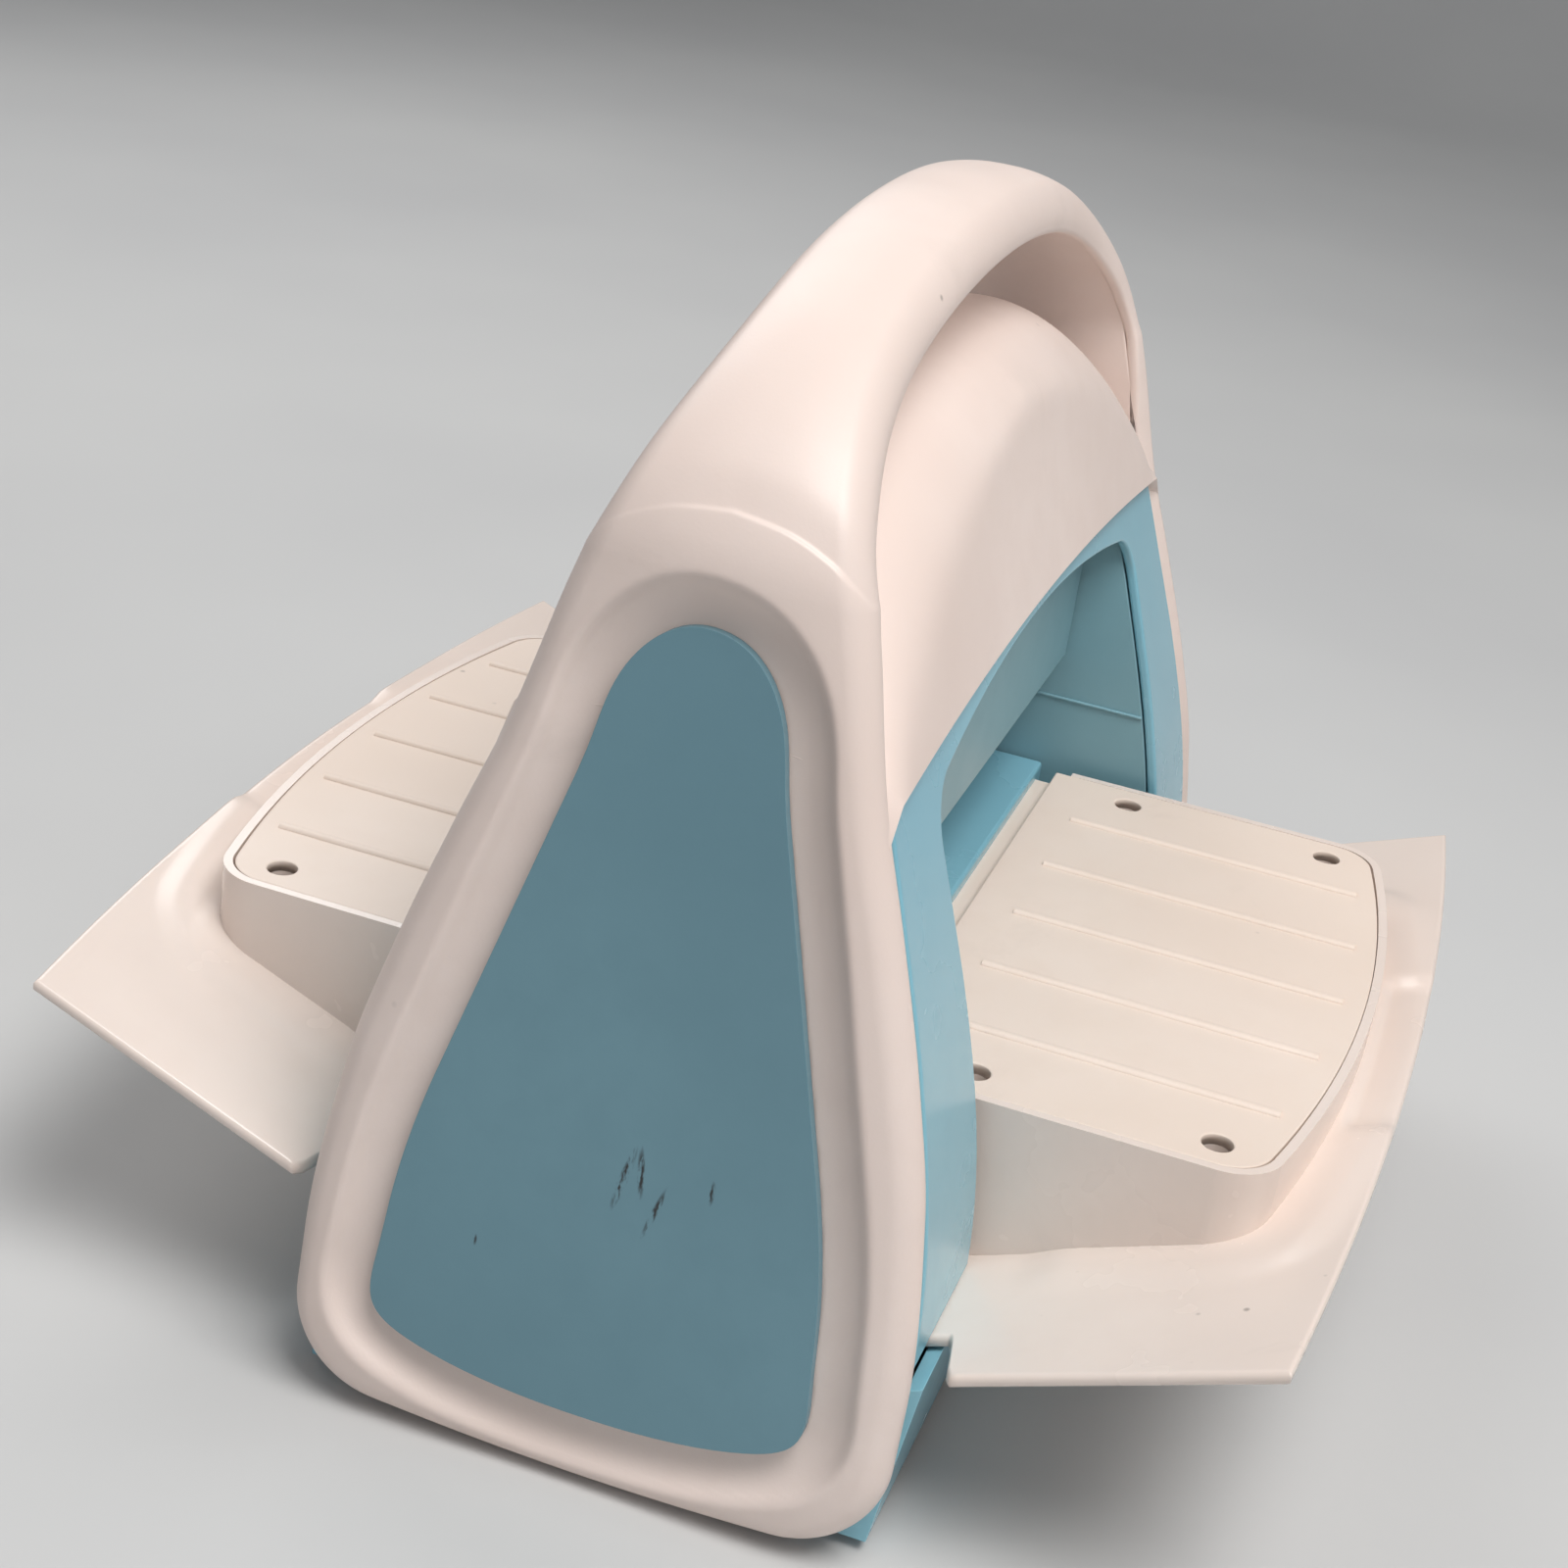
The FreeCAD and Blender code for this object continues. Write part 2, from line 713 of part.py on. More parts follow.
def make_housings():
    gap, wall = cell("shell_gap"), cell("housing_wall")
    setback = cell("housing_setback")
    shell = leg_block(setback).cut(leg_block(setback + wall))
    shell = shell.common(arch_block(cell("band_thickness") + gap))
    shell = shell.common(below_cover_edge(gap, -50))
    shell = shell.cut(window_block())
    front = shell.common(front_half()).cut(under_wing(-gap))
    keep_shape("housing_front", front)
    keep_shape("housing_rear", front, half_turn())


def make_base():
    gap, wall = cell("shell_gap"), cell("base_wall")
    low = cell("base_bottom")

    def tub(inward):
        top_half = cell("base_half_depth") - inward
        low_half = cell("base_floor_half_depth") - inward
        top = wing_plane(cell("base_half_depth")) + 20
        rise = wing_plane(cell("base_half_depth")) - low
        flare = (top_half - low_half) / rise
        top_half = low_half + flare * (top - low)
        points = [
            Vector(0, -low_half, low),
            Vector(0, low_half, low),
            Vector(0, top_half, top),
            Vector(0, -top_half, top),
            Vector(0, -low_half, low),
        ]
        width = 2 * cell("foot_half_width")
        face = Part.Face(Part.makePolygon(points))
        face.translate(Vector(-width, 0, 0))
        solid = face.extrude(Vector(2 * width, 0, 0))
        return solid.common(arch_block(cell("band_thickness") + gap + inward))

    drop = cell("wing_thickness") * math.sqrt(1 + cell("wing_slope") ** 2) + gap
    base = tub(0).cut(tub(wall))
    front = base.common(front_half()).common(under_wing(drop))
    base = front.fuse(front.mirror(Vector(), Y_AXIS))
    reach = cell("foot_pad_x") + cell("foot_pad_radius")
    top = size(BASE_TOP)
    post_height, web_thickness = cell("base_post_height"), cell("web_thickness")
    for side in (-1, 1):
        for end in (-1, 1):
            place = Vector(side * cell("foot_pad_x"), end * cell("base_screw_y"), top)
            pillar = Part.makeCylinder(cell("base_post_radius"), post_height, place)
            length = 2 * cell("foot_half_width") - reach
            web = Part.makeBox(length, web_thickness, post_height)
            web.translate(Vector(cell("foot_pad_x") if side > 0 else -cell("foot_pad_x") - length, 0, 0))
            web.translate(Vector(0, end * cell("base_screw_y") - web_thickness / 2, top))
            web = web.common(tub(wall / 2))
            hole = Part.makeCylinder(cell("screw_shank_radius"), post_height, place)
            base = base.fuse(pillar).fuse(web).cut(hole)
    keep_shape("base_housing", base)


def make_base_plate():
    body = new_body("base_plate")
    sketch = add_sketch(body, "XY_Plane", "dims.base_bottom")
    half_x = "dims.foot_half_width - dims.band_thickness - 2 * dims.base_wall - 3"
    half_y = "dims.base_floor_half_depth - dims.base_wall - dims.shell_gap"
    add_rectangle(sketch, f"-({half_x})", half_x, f"-({half_y})", half_y)
    for side in ("-", ""):
        for end in ("-", ""):
            place = (f"{side}dims.foot_pad_x", f"{end}dims.base_screw_y")
            add_circle(sketch, *place, "dims.screw_shank_radius")
    pad(body, sketch, "dims.base_plate_thickness")


def make_feet_and_base_screws():
    pads, screws = [], []
    for side in ("-", ""):
        for end in ("-", ""):
            x = f"{side}dims.foot_pad_x"
            pad_y = f"{end}dims.foot_pad_y"
            pads.append(cylinder("foot_pad", "dims.foot_pad_radius", "dims.base_bottom", x, pad_y))
            y = f"{end}dims.base_screw_y"
            head_start = "dims.base_bottom - dims.base_screw_head_height"
            head = cylinder(
                "base_screw_head", "dims.base_screw_head_radius", "dims.base_screw_head_height",
                x, y, head_start,
            )
            shank = cylinder(
                "base_screw_shank", "dims.screw_shank_radius", "dims.base_screw_length",
                x, y, "dims.base_bottom",
            )
            screw = doc.addObject("Part::Fuse", "base_screw")
            screw.Base, screw.Tool = head, shank
            screws.append(screw)
    keep("rubber_feet", pads)
    keep("base_screws", screws)


def make_passage_walls():
    wall, gap = cell("passage_wall"), cell("shell_gap")
    inner = cell("window_half_width")
    inset = cell("housing_setback") + cell("housing_wall") + gap
    low = wing_plane(cell("base_half_depth")) + 2 * gap
    plate = Part.makeBox(wall, 4 * inner, cell("cover_edge_side") - cell("window_rim") - low)
    plate.translate(Vector(inner, -2 * inner, low))
    plate = plate.common(leg_block(inset))
    ridge = Part.makeBox(cell("passage_line"), 4 * inner, cell("passage_line"))
    ridge.translate(Vector(inner - cell("passage_line"), -2 * inner, cell("passage_line_height")))
    plate = plate.fuse(ridge.common(leg_block(inset)))
    for axis in (LOWER_AXIS, UPPER_AXIS):
        radius = size(BUSH_RADIUS) + cell("bush_flange_width") + 1
        plate = plate.cut(Part.makeCylinder(radius, 3 * wall, Vector(inner - wall, 0, size(axis)), X_AXIS))
    for y, z in tie_places():
        place = Vector(inner - wall, size(y), size(z))
        plate = plate.cut(Part.makeCylinder(cell("tie_rod_radius") + gap, 3 * wall, place, X_AXIS))
    keep_shape("passage_wall_right", plate)
    keep_shape("passage_wall_left", plate.mirror(Vector(), X_AXIS))


def make_roller_covers():
    """Channel over the upper roller and slotted box over the lower one, between the passage walls."""
    half_x = "dims.window_half_width - dims.passage_line - dims.shell_gap"
    outer, wall = "dims.roller_cover_half_depth", "dims.roller_cover_wall"
    low = f"{UPPER_AXIS} - dims.upper_cover_drop"
    high = f"{low} + dims.upper_cover_height"
    upper = new_body("upper_roller_cover")
    sketch = add_sketch(upper, "YZ_Plane", f"-({half_x})")
    inner = f"({outer} - {wall})"
    add_polygon(sketch, [
        (f"-{outer}", low), (f"-{inner}", low), (f"-{inner}", f"{high} - {wall}"),
        (inner, f"{high} - {wall}"), (inner, low), (outer, low), (outer, high), (f"-{outer}", high),
    ])
    pad(upper, sketch, f"2 * ({half_x})")

    top = "dims.platform_height - dims.shell_gap"
    foot = f"{top} - dims.lower_cover_height"
    slot = "(dims.roller_radius * 0.7)"
    outer = "(dims.roller_cover_half_depth - 0.5)"
    inner = f"({outer} - {wall})"
    lower = new_body("lower_roller_cover")
    sketch = add_sketch(lower, "YZ_Plane", f"-({half_x})")
    under, floor = f"{top} - {wall}", f"{foot} + {wall}"
    add_polygon(sketch, [
        (f"-{slot}", top), (f"-{slot}", under), (f"-{inner}", under), (f"-{inner}", floor),
        (inner, floor), (inner, under), (slot, under), (slot, top),
        (outer, top), (outer, foot), (f"-{outer}", foot), (f"-{outer}", top),
    ])
    pad(lower, sketch, f"2 * ({half_x})")


# ---------------------------------------------------------------------------------------------
# Wings, risers and platforms
# ---------------------------------------------------------------------------------------------
def platform_outline(inward):
    """Plan of the front platform: straight inner edge, straight sides, bowed outer end."""
    half, inner = cell("platform_half_width"), -cell("platform_inner")
    side, reach = -cell("platform_side_reach"), -cell("platform_reach")
    bow = Part.Arc(Vector(-half, side, 0), Vector(0, reach, 0), Vector(half, side, 0)).toShape()
    rest = Part.makePolygon(
        [Vector(half, side, 0), Vector(half, inner, 0), Vector(-half, inner, 0), Vector(-half, side, 0)]
    )
    block = Part.Face(Part.Wire(Part.__sortEdges__([bow] + rest.Edges))).extrude(Vector(0, 0, 10))
    corners = [
        edge for edge in block.Edges
        if edge.BoundBox.ZLength > 9 and edge.BoundBox.YMax < inner - 1
    ]
    block = block.makeFillet(cell("platform_corner"), corners)
    base = min(block.Faces, key=lambda face: face.CenterOfMass.z)
    wire = base.OuterWire
    return wire.makeOffset2D(-inward) if inward else wire


def platform_block(inward, low, high):
    wire = platform_outline(inward)
    wire.translate(Vector(0, 0, low - wire.BoundBox.ZMin))
    return Part.Face(wire).extrude(Vector(0, 0, high - low))


def screw_places():
    return [
        (side * cell("screw_across"), -reach)
        for side in (-1, 1)
        for reach in (cell("screw_near"), cell("screw_far"))
    ]


def make_wing(label, placement):
    half, root = cell("wing_half_width"), -cell("wing_root")
    side, reach = -cell("wing_side_reach"), -cell("wing_reach")
    neck, step = cell("wing_root_half_width"), -cell("base_half_depth") - 2.5
    bow = Part.Arc(Vector(-half, side, 0), Vector(0, reach, 0), Vector(half, side, 0)).toShape()
    rest = Part.makePolygon([
        Vector(half, side, 0), Vector(half, step, 0), Vector(neck, step, 0), Vector(neck, root, 0),
        Vector(-neck, root, 0), Vector(-neck, step, 0), Vector(-half, step, 0), Vector(-half, side, 0),
    ])
    plan = Part.Face(Part.Wire(Part.__sortEdges__([bow] + rest.Edges)))
    thick = cell("wing_thickness") * math.sqrt(1 + cell("wing_slope") ** 2)
    plate = plan.extrude(Vector(0, 0, 2 * cell("platform_height")))
    plate = plate.common(under_wing(0)).cut(under_wing(thick))
    grip = Part.makeBox(2 * cell("grip_half_width"), 40, 100)
    grip.translate(Vector(-cell("grip_half_width"), reach + cell("grip_depth") - 40, 0))
    plate = plate.cut(grip.cut(under_wing(cell("grip_drop"))))

    seat = cell("platform_height") - cell("screw_well_depth") - cell("riser_wall")
    for x, y in screw_places():
        post = Part.makeCylinder(cell("base_post_radius"), seat, Vector(x, y, 0)).cut(under_wing(thick / 2))
        hole = Part.makeCylinder(
            cell("screw_shank_radius"), cell("screw_length"), Vector(x, y, seat + 3 - cell("screw_length"))
        )
        plate = plate.fuse(post).cut(hole)
    keep_shape(label, plate, placement)


def make_riser(label, placement):
    wall, top = cell("riser_wall"), cell("platform_height")
    shelf = top - cell("plate_thickness")
    riser = platform_block(0, 0, top).cut(platform_block(wall, 0, shelf))
    ledge = platform_block(wall - 0.5, shelf - wall, shelf)
    ledge = ledge.cut(platform_block(wall + cell("riser_ledge"), 0, top))
    riser = riser.fuse(ledge).cut(platform_block(cell("plate_rim"), shelf, top + 1))

    sill_top = top - cell("sill_drop")
    sill_end = -cell("roller_cover_half_depth") - cell("shell_gap")
    sill = Part.makeBox(
        2 * cell("platform_half_width"), cell("platform_inner") + sill_end, cell("sill_thickness")
    )
    sill.translate(
        Vector(-cell("platform_half_width"), -cell("platform_inner"), sill_top - cell("sill_thickness"))
    )
    riser = riser.fuse(sill)

    well = cell("screw_well_radius")
    seat = top - cell("screw_well_depth")
    for x, y in screw_places():
        side = 1 if x > 0 else -1
        boss = Part.makeCylinder(cell("screw_boss_radius"), shelf - seat + wall, Vector(x, y, seat - wall))
        web = Part.makeBox(cell("platform_half_width") - 1 - abs(x), 3, shelf - seat + wall)
        web.translate(Vector(x if side > 0 else -cell("platform_half_width") + 1, y - 1.5, seat - wall))
        riser = riser.fuse(boss).fuse(web)
        riser = riser.cut(Part.makeCylinder(well, top, Vector(x, y, seat)))
        hole = cell("screw_shank_radius") + cell("plate_gap")
        riser = riser.cut(Part.makeCylinder(hole, 2 * wall, Vector(x, y, seat - wall)))
    keep_shape(label, riser.cut(under_wing(0)), placement)


def make_platform_plate(label, placement):
    """Ribbed plate let into the riser's rim."""
    edge = "(dims.plate_rim + dims.plate_gap)"
    half = f"(dims.platform_half_width - {edge})"
    inner = f"-(dims.platform_inner + {edge})"
    side = f"-(dims.platform_side_reach - {edge})"
    reach = f"-(dims.platform_reach - {edge})"
    sag = f"({side} - {reach})"
    radius = f"(({half}) * ({half}) + {sag} * {sag}) / (2 * {sag})"
    body = new_body(label)
    low = "dims.platform_height - dims.plate_thickness"
    sketch = add_sketch(body, "XY_Plane", low)
    corners = [(f"-{half}", side), (f"-{half}", inner), (half, inner), (half, side)]
    points = [Vector(size(x), size(y), 0) for x, y in corners]
    for i in range(3):
        sketch.addGeometry(Part.LineSegment(points[i], points[i + 1]), False)
    for i in range(2):
        sketch.addConstraint(Sketcher.Constraint("Coincident", i, 2, i + 1, 1))
    bend_radius = size(radius)
    centre = Vector(0, size(reach) + bend_radius, 0)
    spread = math.asin(size(half) / bend_radius)
    circle = Part.Circle(centre, Z_AXIS, bend_radius)
    sketch.addGeometry(Part.ArcOfCircle(circle, -math.pi / 2 - spread, -math.pi / 2 + spread), False)
    sketch.addConstraint(Sketcher.Constraint("Coincident", 3, 1, 0, 1))
    sketch.addConstraint(Sketcher.Constraint("Coincident", 3, 2, 2, 2))
    for i in range(3):
        place_point(sketch, i, 1, corners[i])
    place_point(sketch, 2, 2, corners[3])
    bend = sketch.addConstraint(Sketcher.Constraint("Radius", 3, bend_radius))
    sketch.setExpression(f"Constraints[{bend}]", radius)
    pad(body, sketch, "dims.plate_thickness")
    doc.recompute()
    plate = body.Tip
    corner_names = [
        f"Edge{i + 1}" for i, item in enumerate(plate.Shape.Edges)
        if item.BoundBox.ZLength > 1 and item.BoundBox.YMax < size(inner) - 5
    ]
    fillet = body.newObject("PartDesign::Fillet", f"{label}_corners")
    fillet.Base = (plate, corner_names)
    fillet.setExpression("Radius", f"dims.platform_corner - {edge}")

    ribs = add_sketch(body, "XY_Plane", "dims.platform_height - 0.5")
    for i in range(RIB_COUNT):
        middle = f"{i - RIB_COUNT // 2} * dims.rib_spacing"
        add_rectangle(
            ribs, f"{middle} - dims.rib_width / 2", f"{middle} + dims.rib_width / 2",
            "-dims.rib_end", "-dims.rib_start",
        )
    pad(body, ribs, "dims.rib_height + 0.5")
    holes = add_sketch(body, "XY_Plane", low)
    for sign in ("-", ""):
        for reach in ("-dims.screw_near", "-dims.screw_far"):
            add_circle(holes, f"{sign}dims.screw_across", reach, "dims.screw_well_radius")
    pocket_through(body, holes)
    body.Placement = placement


def make_platform_screws(label, end):
    screws = []
    seat = "dims.platform_height - dims.screw_well_depth"
    for side in ("-", ""):
        for reach in ("dims.screw_near", "dims.screw_far"):
            x, y = f"{side}dims.screw_across", f"{end}{reach}"
            head = cylinder(
                "platform_screw_head", "dims.screw_head_radius", "dims.screw_head_height", x, y, seat
            )
            slot = doc.addObject("Part::Box", "platform_screw_slot")
            slot_floor = f"{seat} + dims.screw_head_height - dims.screw_slot_depth"
            for long_x, long_y in (("length", "width"), ("width", "length")):
                slot = doc.addObject("Part::Box", "platform_screw_slot")
                slot.setExpression("Length", f"dims.screw_slot_{long_x}")
                slot.setExpression("Width", f"dims.screw_slot_{long_y}")
                slot.setExpression("Height", "2 * dims.screw_slot_depth")
                slot_x = f"{x} - dims.screw_slot_{long_x} / 2"
                place_by(slot, slot_x, f"{y} - dims.screw_slot_{long_y} / 2", slot_floor)
                head = cut("platform_screw_slotted", head, slot)
            shank = cylinder(
                "platform_screw_shank", "dims.screw_shank_radius", "dims.screw_length",
                x, y, f"{seat} - dims.screw_length",
            )
            screw = doc.addObject("Part::Fuse", "platform_screw")
            screw.Base, screw.Tool = head, shank
            screws.append(screw)
    keep(label, screws)


# ---------------------------------------------------------------------------------------------
# Chassis
# ---------------------------------------------------------------------------------------------
def tie_places():
    return [
        (f"{sign}dims.tie_{level}_y", f"dims.tie_{level}_z")
        for level in ("low", "high")
        for sign in ("-", "")
    ]


def spacer_places():
    return [
        (f"{sign}dims.spacer_{level}_y", f"dims.spacer_{level}_z")
        for level in ("low", "high")
        for sign in ("-", "")
    ]


def make_side_plate(label, start, has_crank):
    body = new_body(label)
    sketch = add_sketch(body, "YZ_Plane", start)
    wide, narrow = "dims.side_plate_half_depth", "dims.side_plate_top_half_depth"
    add_polygon(sketch, [
        (f"-{wide}", BASE_TOP), (wide, BASE_TOP), (wide, "dims.side_plate_shoulder"),
        (narrow, "dims.side_plate_top"), (f"-{narrow}", "dims.side_plate_top"),
        (f"-{wide}", "dims.side_plate_shoulder"),
    ])
    for axis in (LOWER_AXIS, UPPER_AXIS):
        add_circle(sketch, "0", axis, BUSH_RADIUS)
    for y, z in tie_places():
        add_circle(sketch, y, z, "dims.tie_end_radius")
    if has_crank:
        add_circle(sketch, "0", CRANK_AXIS, CRANK_BUSH_RADIUS)
        for y, z in spacer_places():
            add_circle(sketch, y, z, "dims.spacer_hole_radius")
    pad(body, sketch, "dims.side_plate_thickness")
    flange = add_sketch(body, "XY_Plane", BASE_TOP)
    inner = f"{start} + dims.side_plate_thickness - 0.5" if has_crank else f"{start} - dims.flange_width"
    add_rectangle(flange, inner, f"{inner} + dims.flange_width + 0.5", f"-{wide}", wide)
    pad(body, flange, "dims.side_plate_thickness")


def make_chassis():
    make_side_plate("chassis_plate_right", "dims.side_plate_x", True)
    make_side_plate("chassis_plate_left", "-dims.side_plate_x - dims.side_plate_thickness", False)
    rods, nuts = [], []
    for y, z in tie_places():
        rods.append(stepped("tie_rod", [
            ("-dims.side_plate_x", "dims.side_plate_x", "dims.tie_rod_radius"),
            (f"-({PLATE_OUTER}) - dims.nut_height", "-dims.side_plate_x + 1", "dims.tie_end_radius"),
            ("dims.side_plate_x - 1", f"{PLATE_OUTER} + dims.nut_height", "dims.tie_end_radius"),
        ], y, z))
        for start in (PLATE_OUTER, f"-({PLATE_OUTER}) - dims.nut_height"):
            nut = doc.addObject("Part::Prism", "tie_nut_blank")
            nut.Polygon = 6
            nut.setExpression("Circumradius", "dims.nut_half_flats / cos(30)")
            nut.setExpression("Height", "dims.nut_height")
            nut.Placement = FreeCAD.Placement(Vector(), FreeCAD.Rotation(Z_AXIS, X_AXIS))
            place_by(nut, start, y, z)
            end = f"{start} + dims.nut_height"
            nuts.append(bore(nut, "dims.tie_end_radius", "tie_nut", start, end, y, z))
    keep("tie_rods", rods)
    keep("tie_rod_nuts", nuts)


def make_bush(name, start, end, radius, hole, z, flange_at_end):
    """Flanged plain bush along X."""
    flange = f"{radius} + dims.bush_flange_width"
    if flange_at_end:
        rim = (end, f"{end} + dims.bush_flange", flange)
        span = (start, f"{end} + dims.bush_flange")
    else:
        rim = (f"{start} - dims.bush_flange", start, flange)
        span = (f"{start} - dims.bush_flange", end)
    blank = stepped(name, [(span[0], span[1], radius), rim], "0", z)
    return bore(blank, hole, name, span[0], span[1], "0", z)


def make_bushes():
    hole = "dims.journal_radius + dims.running_gap"
    left, right = [], []
    for axis in (LOWER_AXIS, UPPER_AXIS):
        right.append(make_bush(
            "roller_bush", "dims.side_plate_x", PLATE_OUTER, BUSH_RADIUS, hole, axis, True
        ))
        left.append(make_bush(
            "roller_bush", f"-({PLATE_OUTER})", "-dims.side_plate_x", BUSH_RADIUS, hole, axis, False
        ))
    keep("roller_bushes_left", left)
    keep("roller_bushes_right", right)
    hole = "dims.shaft_radius + dims.running_gap"
    keep("crank_bushes", [
        make_bush("crank_bush", "dims.side_plate_x", PLATE_OUTER, CRANK_BUSH_RADIUS, hole, CRANK_AXIS, True),
        make_bush(
            "crank_bush", "dims.bracket_x", "dims.bracket_x + dims.bracket_thickness",
            CRANK_BUSH_RADIUS, hole, CRANK_AXIS, False,
        ),
    ])


def make_bracket():
    body = new_body("crank_bracket")
    sketch = add_sketch(body, "YZ_Plane", "dims.bracket_x")
    wide, narrow = "dims.bracket_half_depth", "dims.bracket_top_half_depth"
    add_polygon(sketch, [
        (f"-{wide}", "dims.bracket_bottom"), (wide, "dims.bracket_bottom"),
        (narrow, "dims.bracket_top"), (f"-{narrow}", "dims.bracket_top"),
    ])
    add_circle(sketch, "0", CRANK_AXIS, CRANK_BUSH_RADIUS)
    for y, z in spacer_places():
        add_circle(sketch, y, z, "dims.spacer_hole_radius")
    pad(body, sketch, "dims.bracket_thickness")
    spacers, screws = [], []
    plate = "dims.side_plate_x"
    for y, z in spacer_places():
        tube = stepped("bracket_spacer", [(PLATE_OUTER, "dims.bracket_x", "dims.spacer_radius")], y, z)
        spacers.append(
            bore(tube, "dims.spacer_hole_radius", "bracket_spacer_tube", PLATE_OUTER, "dims.bracket_x", y, z)
        )
        screws.append(stepped("bracket_screw", [
            (f"{plate} - 1", "dims.bracket_x + dims.bracket_thickness", "dims.spacer_hole_radius"),
            (f"{plate} - dims.spacer_screw_head", plate, "2 * dims.spacer_hole_radius"),
        ], y, z))
    keep("bracket_spacers", spacers)
    keep("bracket_screws", screws)


# ---------------------------------------------------------------------------------------------
# Rollers, gears and crank
# ---------------------------------------------------------------------------------------------
def gear_shape(teeth, hole_radius, start_angle):
    """Spur gear about the X axis with straight-flanked teeth; one tooth centred on start_angle."""
    module = cell("gear_module")
    pitch_radius = module * teeth / 2
    outer, root = pitch_radius + 0.85 * module, pitch_radius - 1.15 * module
    pitch = 2 * math.pi / teeth
    half_tooth = pitch / 4 - cell("tooth_backlash") / pitch_radius / 2
    flank = math.tan(math.radians(20)) / pitch_radius
    points = []
    for i in range(teeth):
        middle = start_angle + i * pitch
        half_root = half_tooth + flank * (pitch_radius - root)
        half_tip = half_tooth - flank * (outer - pitch_radius)
        for radius, angle in ((root, -half_root), (outer, -half_tip), (outer, half_tip), (root, half_root)):
            turn = middle + angle
            points.append(Vector(0, radius * math.cos(turn), radius * math.sin(turn)))
    points.append(points[0])
    blank = Part.Face(Part.makePolygon(points)).extrude(Vector(cell("gear_width"), 0, 0))
    return blank.cut(Part.makeCylinder(hole_radius, 3 * cell("gear_width"), Vector(-5, 0, 0), X_AXIS))


def make_gears():
    """The upper gear has a tooth straight down and a tooth straight up; its neighbours have gaps there."""
    half_pitch = math.pi / ROLLER_TEETH
    journal = cell("journal_radius")
    start = cell("gear_offset")
    upper = gear_shape(ROLLER_TEETH, journal, math.pi / 2)
    keep_shape("upper_roller_gear", upper, moved_to(start, UPPER_AXIS))
    lower = gear_shape(ROLLER_TEETH, journal, math.pi / 2 + half_pitch)
    keep_shape("lower_roller_gear", lower, moved_to(start, LOWER_AXIS))
    pinion = gear_shape(PINION_TEETH, cell("shaft_radius"), -math.pi / 2 + math.pi / PINION_TEETH)
    keep_shape("crank_pinion", pinion, moved_to(start, CRANK_AXIS))


def make_rollers():
    gear_end = "dims.gear_offset + dims.gear_width + dims.shell_gap"
    ring_start = f"-({PLATE_OUTER}) - dims.bush_flange - dims.ring_width - 0.2"
    for name, axis in (("lower", LOWER_AXIS), ("upper", UPPER_AXIS)):
        keep(f"{name}_roller", stepped(f"{name}_roller", [
            (f"-({ROLLER_HALF})", ROLLER_HALF, "dims.roller_radius"),
            (f"{ring_start} - 1", f"-({ROLLER_HALF}) + 1", "dims.journal_radius"),
            (f"{ROLLER_HALF} - 1", gear_end, "dims.journal_radius"),
        ], "0", axis))
        ring = stepped(f"{name}_ring", [
            (ring_start, f"{ring_start} + dims.ring_width", "dims.journal_radius + dims.ring_height")
        ], "0", axis)
        keep(f"{name}_roller_ring", bore(
            ring, "dims.journal_radius", f"{name}_ring_bored",
            ring_start, f"{ring_start} + dims.ring_width", "0", axis,
        ))


